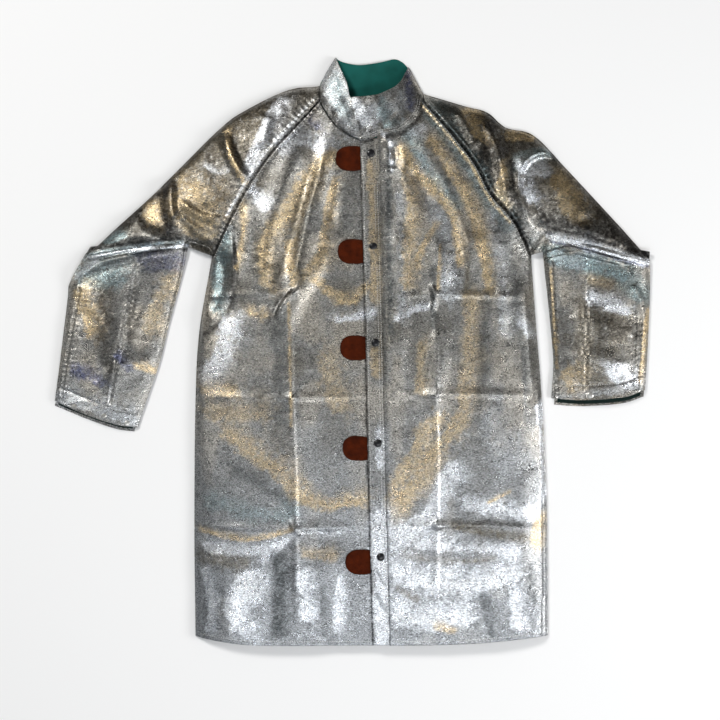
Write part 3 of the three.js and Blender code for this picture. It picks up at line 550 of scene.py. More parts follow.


# %% [markdown]
# ## Painted reflections and shade on the foil
#
# Aluminised cloth mirrors whatever is near it, so a real coat shows broad soft areas of white
# silver, gold, bronze and a cool grey green. Part of that comes from the lights. The rest is painted
# reflection and painted shade: strokes along lines, each with a colour and a width, kept in a colour
# attribute.

# %% Strokes of painted reflection and shade
PAINTED_LIGHT_COLOURS = {
    "white": (0.90, 0.94, 1.0),
    "silver": (0.52, 0.545, 0.57),
    "grey": (0.34, 0.345, 0.34),
    "steel": (0.33, 0.35, 0.375),
    "brown": (0.15, 0.13, 0.095),
    "umber": (0.075, 0.064, 0.046),
    "gold": (0.66, 0.51, 0.30),
    "dark": (0.022, 0.02, 0.019),
    "teal": (0.25, 0.33, 0.345),
    "blue": (0.06, 0.075, 0.17),
    "slate": (0.07, 0.078, 0.08),
}
# painted reflections, highlights and shade: each stroke lays a colour that stands in for what the metal
# mirrors or for the shade in a fold or seam
PAINTED_LIGHT_STROKES = [
    # wearer's right front, from the neck to the hem: paint, strength, width in mm, line in cm
    ("white", 0.9, 14, [(-12, 35.5), (-8, 36.6), (-4.6, 35.4)]),
    ("blue", 0.6, 7, [(-7, 39.5), (-5.8, 38.3)]),
    ("white", 0.8, 9, [(-17, 27.5), (-15.2, 25)]),
    ("gold", 0.8, 13, [(-3.5, 33.2), (-8, 29), (-10.4, 24), (-14.4, 19.5), (-14.4, 12)]),
    ("brown", 0.9, 9, [(-4.5, 30.5), (-7, 27), (-9, 23), (-9.6, 18), (-9, 12)]),
    ("slate", 0.5, 5, [(-6.4, 26), (-8.4, 20), (-9, 13)]),
    ("gold", 0.85, 8, [(-2.9, 29.5), (-4.3, 22), (-5, 17), (-7.6, 13.2)]),
    ("gold", 0.75, 6, [(-11, 18.4), (-10.6, 14), (-10, 11.5)]),
    ("slate", 0.7, 6, [(-12.8, 19), (-12.9, 12)]),
    ("slate", 0.45, 8, [(-1.4, 29), (-1.6, 20)]),
    ("teal", 0.95, 9, [(-21.6, 19.5), (-22.8, 13), (-23, 7.5)]),
    ("dark", 0.9, 4, [(-20.1, 18.3), (-20.2, 12), (-21.3, 6), (-25.4, 2.7)]),
    ("gold", 0.85, 4, [(-18.7, 25), (-18.6, 21), (-19.7, 14)]),
    ("gold", 0.85, 9, [(-6, 12), (-2.6, 9.2), (0, 8.2), (2.3, 11)]),
    ("white", 0.95, 6, [(-2.2, 5.2), (0.8, 5.8), (3.6, 6.4)]),
    ("gold", 0.75, 8, [(-17.2, 6.6), (-15, 6)]),
    ("white", 0.9, 13, [(-20.6, 4.4), (-22.5, 0), (-24.8, -5)]),
    ("dark", 0.9, 2.6, [(-14.6, 4.4), (-12.5, 8.6), (-9.6, 10.3)]),
    ("slate", 0.6, 13, [(-12.7, 6), (-12.3, -8), (-12.6, -17)]),
    ("gold", 0.7, 2, [(-10.8, 8), (-10.6, -3), (-10.4, -13)]),
    ("gold", 0.65, 11, [(-25.2, -6.6), (-20.5, -7)]),
    ("gold", 0.45, 14, [(-24, -10.6), (-16, -11)]),
    ("gold", 0.5, 16, [(-4.2, -2), (-2.4, -9)]),
    ("gold", 0.65, 14, [(-21, -14.6), (-16.5, -18), (-12.4, -21), (-9.6, -24.6)]),
    ("slate", 0.6, 9, [(-20, -20.6), (-15, -23.4), (-11.4, -26)]),
    ("teal", 0.5, 13, [(-24, -26), (-14, -28.4), (-10.4, -28)]),
    ("gold", 0.75, 12, [(-7.8, -25.6), (-4, -26.6), (1.6, -26)]),
    ("gold", 0.85, 4, [(-26, -31), (-18, -32.6), (-10.2, -31)]),
    ("brown", 0.7, 15, [(-24.6, -36), (-19, -36.6)]),
    ("silver", 0.6, 10, [(-8, -31), (2.4, -31.6)]),
    ("white", 0.6, 8, [(-25, -33.4), (-19, -34.6), (-12, -33.6)]),
    ("white", 0.8, 8, [(-25, -38), (-24, -44), (-24.6, -48)]),
    ("white", 0.8, 5, [(-15.4, -36.4), (-10, -31.8)]),
    ("gold", 0.5, 8, [(-8, -35), (-3, -35.4)]),
    ("white", 1.0, 20, [(-17, -39.6), (-20, -44), (-19.4, -47)]),
    ("slate", 0.95, 13, [(-12.3, -36.5), (-12.4, -48.6)]),
    ("white", 0.95, 9, [(-8.2, -38.6), (-7.6, -46)]),
    ("slate", 0.6, 5, [(-5, -41), (-4.6, -49)]),
    ("white", 0.85, 7, [(-2, -39.6), (-2.2, -48)]),
    # wearer's right sleeve
    ("umber", 0.9, 40, [(-16, 39), (-26, 31), (-34, 23)]),
    ("umber", 0.85, 14, [(-9, 44), (-18, 40.4), (-30, 30), (-42, 19)]),
    ("white", 0.7, 9, [(-12.2, 43), (-14.6, 38), (-16.2, 34.5), (-18, 30.5)]),
    ("dark", 0.6, 9, [(-24.4, 33.6), (-24, 29), (-22, 26.4)]),
    ("dark", 0.5, 7, [(-28.4, 30.4), (-26.8, 26.8), (-25, 25)]),
    ("silver", 0.5, 4, [(-25.2, 31.8), (-23, 30.6), (-21.4, 31)]),
    ("gold", 0.9, 4.5, [(-21.5, 37.5), (-20.6, 33), (-18.4, 28.9)]),
    ("dark", 0.7, 5, [(-20.6, 37), (-19.6, 33), (-17.8, 30)]),
    ("gold", 0.6, 22, [(-30, 25.6), (-25, 23.4)]),
    ("gold", 0.85, 12, [(-34.8, 25.2), (-34.6, 22.6)]),
    ("dark", 0.9, 8, [(-31.6, 29), (-32.2, 24), (-31, 20.6)]),
    ("dark", 0.75, 13, [(-44, 18.4), (-39, 22.6), (-33, 27.8)]),
    ("gold", 0.5, 10, [(-29, 21), (-24.5, 19.6)]),
    ("teal", 0.8, 6, [(-42.2, 18.9), (-39.4, 19.8)]),
    ("teal", 0.8, 7, [(-45, 16.2), (-36, 17.6), (-30, 18.2)]),
    ("white", 0.7, 6, [(-47.6, 12.6), (-44.2, 15.4)]),
    ("teal", 0.85, 17, [(-46, 12.2), (-40.5, 12.8)]),
    ("blue", 0.5, 17, [(-35, 16), (-30.5, 15.4)]),
    ("gold", 0.85, 13, [(-46.4, 10), (-45, 3.6)]),
    ("dark", 0.65, 17, [(-42.2, 9), (-41.6, -3)]),
    ("gold", 0.55, 12, [(-31.8, 12), (-34.6, 4)]),
    ("dark", 0.55, 9, [(-37.4, 10), (-38, 0)]),
    ("blue", 0.8, 9, [(-47.4, -3.6), (-43.8, -5.4)]),
    ("blue", 0.6, 7, [(-40, -1), (-38.4, -3)]),
    ("gold", 0.8, 7, [(-37, -2.6), (-34.2, -3.6)]),
    ("silver", 0.8, 13, [(-50, -8), (-45, -9.6), (-38.5, -11.8)]),
    # wearer's left sleeve
    ("umber", 0.9, 44, [(19, 39), (27, 33), (38, 25)]),
    ("umber", 0.85, 14, [(17, 42.6), (30, 37), (42, 26), (50, 17.6)]),
    ("dark", 0.7, 10, [(16, 41.6), (18.4, 38), (20, 34)]),
    ("dark", 0.95, 14, [(24.5, 40.2), (23.3, 35.7), (22.6, 31.2), (23.8, 28)]),
    ("gold", 0.8, 9, [(20.4, 41.2), (21.8, 37)]),
    ("gold", 0.85, 7, [(26.6, 32), (25.3, 27), (26.8, 24.8)]),
    ("gold", 0.85, 6, [(27.2, 37), (31, 36.5)]),
    ("teal", 0.6, 9, [(35.5, 34), (30, 33.8), (27.6, 31.6)]),
    ("brown", 0.6, 18, [(36, 29), (40, 24.6)]),
    ("white", 0.85, 11, [(29.6, 31.2), (33.5, 30.6)]),
    ("white", 0.75, 9, [(29.8, 29), (31, 26.4)]),
    ("gold", 0.8, 15, [(35.8, 29.6), (38.4, 25.8)]),
    ("gold", 0.6, 11, [(37.4, 24), (39.4, 22.4)]),
    ("dark", 0.95, 7, [(27.5, 32), (27.9, 24.4), (30.4, 18.7)]),
    ("dark", 0.95, 12, [(33, 22.6), (39, 21.2), (47, 19), (50, 17.4)]),
    ("dark", 0.9, 15, [(35.5, 34), (40.5, 28.5), (46, 22), (50.5, 17)]),
    ("white", 0.9, 7, [(34.4, 19.6), (40, 18), (46, 16.4), (50.8, 15)]),
    ("teal", 0.95, 16, [(35, 16.4), (40, 14.8), (45.6, 13.6), (49.6, 9.6)]),
    ("white", 0.7, 8, [(36, 15.6), (39.5, 14.6)]),
    ("gold", 0.6, 10, [(41.8, 12), (44, 11.6)]),
    ("brown", 0.75, 52, [(43, 8), (43, -6)]),
    ("teal", 0.8, 9, [(36, 15.6), (42, 14.2), (47, 12.6)]),
    ("white", 0.75, 9, [(41.5, 9), (47.4, 6.8)]),
    ("dark", 0.7, 12, [(43.5, 3.4), (49, 3)]),
    ("dark", 0.5, 14, [(36.4, 7), (36.8, -2)]),
    ("gold", 0.6, 13, [(37.6, -4.6), (38, -7)]),
    ("white", 0.85, 12, [(45.4, -3.8), (48, -5)]),
    ("gold", 0.85, 2.5, [(34.4, 14), (35.6, -3)]),
    ("gold", 0.85, 3, [(51.2, 7), (49.9, -5.4)]),
    ("silver", 0.6, 6, [(36, -8), (43, -7.4), (49.4, -6.2)]),
    # wearer's left front, from the neck to the hem
    ("teal", 0.7, 12, [(13.6, 40.6), (19, 33), (23.4, 26), (26.2, 21.6)]),
    ("slate", 0.9, 5.5, [(6.6, 35), (6.4, 20), (6.8, 3)]),
    ("white", 0.9, 2.5, [(5.2, 37.2), (6.6, 35.6), (6.9, 31)]),
    ("white", 0.7, 6, [(12.2, 38.4), (10.2, 37)]),
    ("silver", 0.8, 16, [(9.4, 34), (13, 27), (16, 19), (16.6, 10)]),
    ("silver", 0.6, 9, [(8.4, 26), (9, 16), (8.6, 6)]),
    ("silver", 0.6, 10, [(24, 23), (25.6, 14), (25.8, 4)]),
    ("gold", 0.75, 11, [(8.8, 34), (10.2, 28), (10, 20), (9.4, 11)]),
    ("teal", 0.8, 9, [(9.6, 36.4), (13.4, 30.6), (18, 25)]),
    ("gold", 0.9, 7, [(8.8, 34.4), (12.4, 29.4), (15.6, 26), (17.8, 22), (18.7, 15)]),
    ("gold", 0.85, 9, [(14, 36), (17, 31), (20.5, 25), (22.6, 17), (23.6, 11)]),
    ("brown", 0.8, 5, [(19.4, 20), (20, 14), (19.6, 9)]),
    ("slate", 0.6, 12, [(26, 21.4), (28, 14), (28.6, 5)]),
    ("gold", 0.75, 5, [(14.6, 21.6), (12.2, 18), (11.2, 14.6)]),
    ("gold", 0.85, 3, [(15.2, 18), (14.8, 10.6)]),
    ("slate", 0.7, 4, [(14, 14), (14, 4)]),
    ("white", 0.95, 6, [(8.4, 5.6), (10.4, 7), (13, 7.4)]),
    ("gold", 0.6, 13, [(20.6, 9), (20.4, 1), (19.6, -7), (18.6, -13), (15, -17), (12, -22), (8, -27.4)]),
    ("gold", 0.65, 16, [(14.6, -12), (10.6, -18), (7.8, -25)]),
    ("gold", 0.55, 7, [(12, 1), (11.6, -7)]),
    ("slate", 0.6, 8, [(22.8, 8), (22.6, -4), (21.6, -12)]),
    ("white", 0.7, 8, [(29.4, 4.6), (30.6, 2.8)]),
    ("slate", 0.5, 9, [(30.2, 0), (30.6, -7)]),
    ("silver", 0.5, 24, [(24, -12), (27, -20)]),
    ("white", 0.85, 5, [(32.4, -10), (33.1, -22), (32.4, -28)]),
    ("white", 0.95, 13, [(17.4, -20.6), (13.4, -28), (8, -32.4)]),
    ("white", 0.9, 11, [(20, -26.4), (26, -27.6), (31.4, -28.4)]),
    ("brown", 0.9, 8, [(17.8, -30), (24, -31.6), (29.4, -32.6)]),
    ("gold", 0.85, 2.5, [(23.6, -26.2), (27.2, -24.4)]),
    ("white", 0.85, 8, [(12, -33.4), (20, -34), (28.4, -34.6)]),
    ("brown", 0.85, 5, [(9, -35.6), (17, -36.4), (24.4, -36)]),
    ("gold", 0.85, 8, [(32.6, -28.6), (31.6, -33.4)]),
    ("white", 1.0, 20, [(8.6, -39), (19, -40), (27.6, -39)]),
    ("white", 0.95, 17, [(8.6, -46), (19, -46)]),
    ("brown", 0.75, 5, [(8, -41), (11.2, -42.8)]),
    ("slate", 0.75, 8, [(22.8, -42.4), (24.2, -48.6)]),
    ("white", 0.9, 9, [(28.2, -42), (28.6, -47)]),
    ("slate", 0.7, 6, [(30.8, -37), (31.6, -43)]),
    ("gold", 0.75, 6, [(14.8, -47.4), (17.4, -48.2)]),
    # along the placket: the painted shadow line at its edge, then painted reflections and shade on the band
    ("dark", 0.9, 1.7, [(1.45, 36), (1.9, 20), (2.4, 1.7), (2.65, -12.7), (3.2, -35), (3.6, -50)]),
    ("slate", 0.75, 1.5, [(4.75, 36), (5.2, 20), (5.75, 1.7), (6.0, -12.7), (6.5, -35), (6.9, -50)]),
    ("gold", 0.65, 7, [(3.2, 32), (3.8, 20), (3.9, 9)]),
    ("slate", 0.5, 6, [(4.4, 28), (5, 18)]),
    ("gold", 0.6, 5, [(3.8, 0), (4, -4)]),
    ("white", 0.6, 6, [(4.6, -14), (5, -20)]),
    ("white", 0.85, 13, [(4.8, -29), (5.2, -40), (5.4, -50)]),
    ("slate", 0.7, 3, [(4.4, -38), (5.6, -40.4)]),
    ("slate", 0.7, 3, [(4.4, -42), (5.8, -44.8)]),
    # seams of the raglan sleeves and the creases at the elbows: a line of painted shade beside a painted
    # highlight
    ("dark", 0.9, 2.4, LINES["right_raglan"]),
    ("dark", 0.9, 2.6, LINES["left_raglan"]),
    ("silver", 0.8, 2, [(x - 0.6, y + 0.4) for x, y in LINES["right_raglan"][1:]]),
    ("gold", 0.8, 2, [(x - 0.7, y - 0.4) for x, y in LINES["left_raglan"][1:]]),
    ("dark", 0.95, 3.2, [(x, y + 0.5) for x, y in LINES["right_elbow"]]),
    ("dark", 0.95, 4, [(x, y + 0.7) for x, y in LINES["left_elbow"]]),
    ("white", 0.85, 2.6, [(x, y - 0.8) for x, y in LINES["right_elbow"]]),
    ("dark", 0.8, 1.8, [(x, y - 1.4) for x, y in LINES["right_elbow"]]),
    ("white", 0.95, 3, [(x, y - 0.7) for x, y in LINES["left_elbow"]]),
    ("blue", 0.6, 2, [(x, y - 1.5) for x, y in LINES["left_elbow"]]),
    # collar
    ("silver", 0.8, 20, [(-4, 48), (-2.6, 43), (0, 38)]),
    ("dark", 0.9, 3.4, [(-5.8, 44.4), (-4.4, 41.2), (-2.4, 38.6), (0, 36.9)]),
    ("dark", 0.8, 3, [(-3.4, 41.6), (-2.8, 39.4)]),
    ("slate", 0.8, 3, [(-2.6, 47.6), (-1.2, 42), (0.2, 38.4)]),
    ("dark", 0.8, 2, [(0.6, 42.4), (1.3, 39), (1.7, 36.4)]),
    ("dark", 0.9, 2.4, [(1.8, 35.7), (4.9, 36.5), (8.1, 37.1), (10.5, 38.6), (12.2, 41)]),
    ("slate", 0.8, 4, [(8.6, 45), (8.4, 41.4), (7.4, 39.2)]),
    ("teal", 0.5, 12, [(-3, 46), (-1.6, 41)]),
    ("white", 0.95, 10, [(0.8, 42.6), (2.4, 39.6)]),
    ("silver", 0.8, 16, [(5, 41), (9, 43)]),
    ("teal", 0.8, 8, [(5.2, 43), (6.2, 39)]),
    ("blue", 0.75, 7, [(9.8, 47.5), (10.2, 42)]),
    ("slate", 0.7, 5, [(11.2, 45), (11.8, 42)]),
]


def painted_light_at(xy):
    """Painted reflection: grey brown that turns to steel towards the hem, and each stroke of painted
    reflection, highlight or shade laid over it.

    A stroke's cover falls off softly on its left side, as exp(-(d / 1.5 w)^2), and sharply on its right side,
    as exp(-(d / 1.1 w)^5). Fine noise breaks the cover and changes the width.
    """
    # painted reflection: a grey-brown ground with soft gold patches, where the silver foil mirrors warm
    # surroundings
    patches = soft_noise(xy * [1.5, 0.7], 4.4 * CM, 21)[..., None]
    fine = soft_noise(xy * [1.6, 1], 1.2 * CM, 22)[..., None]
    greyness = np.clip(0.72 + 0.22 * patches + 0.05 * fine, 0, 1)
    painted_light = mix(np.array(PAINTED_LIGHT_COLOURS["brown"]), np.array(PAINTED_LIGHT_COLOURS["grey"]), greyness)
    painted_light = mix(painted_light, np.array(PAINTED_LIGHT_COLOURS["gold"]), 0.2 * np.clip(patches + 0.2 * fine, 0, 1))
    # painted reflection: steel towards the hem, where the foil mirrors the bright panel beyond it
    hem_reflection = smooth(5 * CM, -45 * CM, xy[..., 1])[..., None]
    painted_light = mix(painted_light, np.array(PAINTED_LIGHT_COLOURS["steel"]), 0.75 * hem_reflection)
    broken = np.clip(0.8 + 0.3 * soft_noise(xy, 0.36 * CM, 25), 0.2, 1)
    rag = 1 + 0.25 * soft_noise(xy, 2.6 * CM, 23) + 0.22 * soft_noise(xy, 0.5 * CM, 24)
    for paint, strength, width, points in PAINTED_LIGHT_STROKES:
        line = curve(points, 12)
        here = close_to(xy, line, 4 * width * MM)
        if not here.any():
            continue
        gap, side, _ = nearest(xy[here], line)
        away = gap / np.maximum(width * MM * rag[here], 1.2 * MM)
        fall = np.where(side > 0, (away / 1.5) ** 2, (away / 1.1) ** 5)
        cover = strength * broken[here] * np.exp(-fall)
        painted_light[here] = mix(painted_light[here], np.array(PAINTED_LIGHT_COLOURS[paint]), cover[..., None])
    return np.clip(painted_light, 0.01, 1)


def paint_light_on_mesh(mesh, places):
    """The painted reflection and shade of each vertex as a colour attribute."""
    colours = np.ones((len(places), 4), np.float32)
    colours[:, :3] = painted_light_at(places[:, :2])
    layer = mesh.color_attributes.new("painted_light", "FLOAT_COLOR", "POINT")
    layer.data.foreach_set("color", colours.ravel())


# %% [markdown]
# ## Materials
#
# One node group makes the grain: a stretched noise for the fine crackle of the foil and Voronoi cells
# for the small flat facets between. The foil, the leather and the enamel all use it at their own
# size. Constants stay on the shader's own sockets.


# %% Node helpers
def new_material(name):
    """A material with its nodes, links and Principled shader."""
    material = bpy.data.materials.new(name)
    material.use_nodes = True
    nodes = material.node_tree.nodes
    shader = nodes["Principled BSDF"]
    return material, nodes, material.node_tree.links, shader


def node(nodes, kind, **values):
    """A node with its settings, and with inputs whose names have underscores for spaces."""
    made = nodes.new(kind)
    for key, value in values.items():
        if hasattr(made, key):
            setattr(made, key, value)
        else:
            made.inputs[key.replace("_", " ")].default_value = value
    return made


def grain_group():
    """Inputs: Scale, Stretch, Facets. Outputs: Height for a bump, Speck as a mask from 0 to 1."""
    group = bpy.data.node_groups.new("grain", "ShaderNodeTree")
    group.interface.new_socket("Scale", in_out="INPUT", socket_type="NodeSocketFloat")
    group.interface.new_socket("Stretch", in_out="INPUT", socket_type="NodeSocketVector")
    group.interface.new_socket("Facets", in_out="INPUT", socket_type="NodeSocketFloat")
    group.interface.new_socket("Height", in_out="OUTPUT", socket_type="NodeSocketFloat")
    group.interface.new_socket("Speck", in_out="OUTPUT", socket_type="NodeSocketFloat")
    nodes, links = group.nodes, group.links
    given = nodes.new("NodeGroupInput")
    result = nodes.new("NodeGroupOutput")
    place = nodes.new("ShaderNodeTexCoord")
    stretched = node(nodes, "ShaderNodeVectorMath", operation="MULTIPLY")
    links.new(place.outputs["Object"], stretched.inputs[0])
    links.new(given.outputs["Stretch"], stretched.inputs[1])
    noise = node(nodes, "ShaderNodeTexNoise", Detail=5.0, Roughness=0.62, Distortion=0.7)
    links.new(stretched.outputs[0], noise.inputs["Vector"])
    links.new(given.outputs["Scale"], noise.inputs["Scale"])
    cells = node(nodes, "ShaderNodeTexVoronoi", feature="SMOOTH_F1")
    cells.inputs["Smoothness"].default_value = 0.35
    links.new(stretched.outputs[0], cells.inputs["Vector"])
    half = node(nodes, "ShaderNodeMath", operation="MULTIPLY")
    half.inputs[1].default_value = 0.55
    links.new(given.outputs["Scale"], half.inputs[0])
    links.new(half.outputs[0], cells.inputs["Scale"])
    weigh = node(nodes, "ShaderNodeMath", operation="MULTIPLY")
    links.new(cells.outputs["Distance"], weigh.inputs[0])
    links.new(given.outputs["Facets"], weigh.inputs[1])
    add = node(nodes, "ShaderNodeMath", operation="ADD")
    links.new(noise.outputs["Fac"], add.inputs[0])
    links.new(weigh.outputs[0], add.inputs[1])
    links.new(add.outputs[0], result.inputs["Height"])
    speck = node(nodes, "ShaderNodeMapRange")
    speck.inputs["From Min"].default_value = 0.36
    speck.inputs["From Max"].default_value = 0.64
    links.new(noise.outputs["Fac"], speck.inputs["Value"])
    links.new(speck.outputs["Result"], result.inputs["Speck"])
    return group


GRAIN = grain_group()


def place_grain(nodes, scale, stretch, facets):
    """The grain group in a material, with its own values."""
    made = nodes.new("ShaderNodeGroup")
    made.node_tree = GRAIN
    made.inputs["Scale"].default_value = scale
    made.inputs["Stretch"].default_value = stretch
    made.inputs["Facets"].default_value = facets
    return made


def span_node(nodes, links, source, low, high):
    """A value from 0 to 1 stretched to run from low to high."""
    made = nodes.new("ShaderNodeMapRange")
    made.inputs["To Min"].default_value = low
    made.inputs["To Max"].default_value = high
    links.new(source, made.inputs["Value"])
    return made.outputs["Result"]


def bump_node(nodes, links, height, strength, distance, normal=None):
    """A bump whose height comes from a node, laid over another normal if one is given."""
    made = nodes.new("ShaderNodeBump")
    made.inputs["Strength"].default_value = strength
    made.inputs["Distance"].default_value = distance
    links.new(height, made.inputs["Height"])
    if normal is not None:
        links.new(normal, made.inputs["Normal"])
    return made.outputs["Normal"]


# %% Aluminised foil
def make_foil(name):
    """Metal in the colours of the painted reflection and shade attribute, times a fine speck from 0.08 to
    1.72.
    """
    material, nodes, links, shader = new_material(name)
    shader.inputs["Metallic"].default_value = 1.0
    # the painted reflections and shade, read from the colour attribute
    painted_light = nodes.new("ShaderNodeAttribute")
    painted_light.attribute_name = "painted_light"
    fine = place_grain(nodes, 560 / (100 * CM), (0.7, 1.35, 1.0), 0.15)
    broad = place_grain(nodes, 70 / (100 * CM), (0.8, 1.3, 1.0), 0.8)
    lighten = nodes.new("ShaderNodeMix")
    lighten.data_type = "RGBA"
    lighten.blend_type = "MULTIPLY"
    lighten.inputs["Factor"].default_value = 1.0
    shade = nodes.new("ShaderNodeCombineColor")
    worn = span_node(nodes, links, fine.outputs["Speck"], 0.08, 1.72)
    for channel in shade.inputs:
        links.new(worn, channel)
    links.new(painted_light.outputs["Color"], lighten.inputs["A"])
    links.new(shade.outputs["Color"], lighten.inputs["B"])
    links.new(lighten.outputs["Result"], shader.inputs["Base Color"])
    links.new(span_node(nodes, links, broad.outputs["Speck"], 0.22, 0.38), shader.inputs["Roughness"])
    first = bump_node(nodes, links, broad.outputs["Height"], 0.12, 1.2 * MM)
    second = bump_node(nodes, links, fine.outputs["Height"], 1.0, 0.55 * MM, first)
    links.new(second, shader.inputs["Normal"])
    return material


foil = make_foil("aluminised_foil")


# %% Green cotton
def make_cotton(name, depth):
    """Cotton that is as bright as its depth says: the lining deep in a cuff gets a dark copy as painted
    shade.
    """
    material, nodes, links, shader = new_material(name)
    place = nodes.new("ShaderNodeTexCoord")
    ribs = []
    for direction in ("X", "Y"):
        rib = node(nodes, "ShaderNodeTexWave", Scale=260 / (100 * CM), Distortion=0.6)
        rib.bands_direction = direction
        links.new(place.outputs["Object"], rib.inputs["Vector"])
        ribs.append(rib.outputs["Fac"])
    weave = node(nodes, "ShaderNodeMath", operation="MULTIPLY")
    links.new(ribs[0], weave.inputs[0])
    links.new(ribs[1], weave.inputs[1])
    cloud = node(nodes, "ShaderNodeTexNoise", Scale=22 / (100 * CM), Detail=4.0)
    links.new(place.outputs["Object"], cloud.inputs["Vector"])
    colours = nodes.new("ShaderNodeValToRGB")
    colours.color_ramp.elements[0].position = 0.3
    colours.color_ramp.elements[0].color = (0.004, 0.070 * depth, 0.058 * depth, 1)
    colours.color_ramp.elements[1].position = 0.75
    colours.color_ramp.elements[1].color = (0.010, 0.135 * depth, 0.115 * depth, 1)
    links.new(cloud.outputs["Fac"], colours.inputs["Fac"])
    links.new(colours.outputs["Color"], shader.inputs["Base Color"])
    links.new(span_node(nodes, links, weave.outputs[0], 0.92, 0.78), shader.inputs["Roughness"])
    links.new(bump_node(nodes, links, weave.outputs[0], 0.6, 0.4 * MM), shader.inputs["Normal"])
    shader.inputs["Sheen Weight"].default_value = 0.05
    shader.inputs["Specular IOR Level"].default_value = 0.2
    return material


cotton = make_cotton("green_cotton", 1.0)
# a darker copy of the green lining, as painted shade deep in the cuffs
shaded_cotton = make_cotton("shaded_cotton", 0.2)


# %% Brown leather
def make_leather(name):
    """Rust brown, clouded, dark along the cut edge, with a pebbled grain."""
    material, nodes, links, shader = new_material(name)
    place = nodes.new("ShaderNodeTexCoord")
    grain = place_grain(nodes, 520 / (100 * CM), (1, 1, 1), 1.2)
    cloud = node(nodes, "ShaderNodeTexNoise", Scale=70 / (100 * CM), Detail=5.0, Roughness=0.6)
    links.new(place.outputs["Object"], cloud.inputs["Vector"])
    colours = nodes.new("ShaderNodeValToRGB")
    colours.color_ramp.elements[0].position = 0.3
    colours.color_ramp.elements[0].color = (0.028, 0.0040, 0.0006, 1)
    colours.color_ramp.elements[1].position = 0.72
    colours.color_ramp.elements[1].color = (0.078, 0.0115, 0.0016, 1)
    links.new(cloud.outputs["Fac"], colours.inputs["Fac"])
    edge = nodes.new("ShaderNodeAttribute")
    edge.attribute_name = "edge"
    dark = nodes.new("ShaderNodeMix")
    dark.data_type = "RGBA"
    dark.inputs["B"].default_value = (0.04, 0.012, 0.006, 1)
    links.new(edge.outputs["Fac"], dark.inputs["Factor"])
    links.new(colours.outputs["Color"], dark.inputs["A"])
    links.new(dark.outputs["Result"], shader.inputs["Base Color"])
    links.new(span_node(nodes, links, grain.outputs["Speck"], 0.62, 0.86), shader.inputs["Roughness"])
    links.new(bump_node(nodes, links, grain.outputs["Height"], 0.5, 0.35 * MM), shader.inputs["Normal"])
    shader.inputs["Specular IOR Level"].default_value = 0.06
    return material


leather = make_leather("brown_leather")


# %% Snap metals and thread
def make_hard(name, colour, metallic, low, high, scale):
    """A hard finish: one colour, faintly clouded, with roughness that varies from low to high."""
    material, nodes, links, shader = new_material(name)
    shader.inputs["Metallic"].default_value = metallic
    grain = place_grain(nodes, scale / (100 * CM), (1, 1, 1), 0.4)
    colours = nodes.new("ShaderNodeValToRGB")
    colours.color_ramp.elements[0].color = (*(0.7 * c for c in colour), 1)
    colours.color_ramp.elements[1].color = (*colour, 1)
    links.new(grain.outputs["Speck"], colours.inputs["Fac"])
    links.new(colours.outputs["Color"], shader.inputs["Base Color"])
    links.new(span_node(nodes, links, grain.outputs["Speck"], low, high), shader.inputs["Roughness"])
    links.new(bump_node(nodes, links, grain.outputs["Height"], 0.2, 0.1 * MM), shader.inputs["Normal"])
    return material


enamel = make_hard("black_enamel", (0.007, 0.007, 0.009), 0.0, 0.12, 0.26, 300)
nickel = make_hard("nickel", (0.62, 0.61, 0.58), 1.0, 0.22, 0.42, 400)
thread = make_hard("silver_thread", (0.75, 0.75, 0.73), 0.0, 0.55, 0.8, 900)
print("materials:", [m.name for m in bpy.data.materials])

# %% [markdown]
# ## The fronts
#
# Each front is one patch: the hem, the side fold with the raglan seam above it, the edge at the
# closure and the neck seam. The side is rolled under, the hem is rolled to the inside, and the edges
# that meet another piece are let down into the seam.

# %% Fronts
ROWS_PER_CM = 4.4


def counts(height_cm, width_cm, density=ROWS_PER_CM):
    """Rows and columns of a grid: its size times its points per centimetre."""
    return int(height_cm * density), int(width_cm * density)


def cut_size(xy):
    span = xy.reshape(-1, 2).max(0) - xy.reshape(-1, 2).min(0)
    one, two = xy[1:, 1:] - xy[:-1, :-1], xy[1:, :-1] - xy[:-1, 1:]
    area = 0.5 * np.abs(one[..., 0] * two[..., 1] - one[..., 1] * two[..., 0]).sum()
    return {"flat": (float(span[0]), float(span[1])), "area": float(area)}


def lifted(xy, drop=0.0):
    """The flat grid with its height: the cloth's height less a drop that may vary over the grid."""
    return np.concatenate([xy, (cloth_height(xy) - drop)[..., None]], -1)


def make_right_front():
    """A patch from the side fold to the underlap, let down under the closure, with its edges turned."""
    rows, cols = counts(93, 31)
    left = joined(rows, chalk("right_side"), chalk("right_raglan"))
    shift = np.array([2.5 * CM, 0])
    right = chalk("band_front", rows) + shift
    hem_all = chalk("hem", 200)
    bottom = even(hem_all[hem_all[:, 0] <= right[0, 0]], cols)
    bottom[-1] = right[0]
    top = curve([*LINES["right_neck_seam"], (4.05, 36.5)], cols)
    xy = patch(left, right, bottom, top)
    grid = lifted(xy, closure_drop(xy))
    grid = turn_edge(grid, "left", "roll")
    grid = turn_edge(grid, "right", "roll", 1.0 * MM, 6 * MM)
    grid = turn_edge(grid, "top", "drop", 3 * MM)
    grid = turn_edge(grid, "bottom", "roll", 1.2 * MM, 22 * MM)
    return xy, cloth_mesh("front_right_cloth", grid, foil)


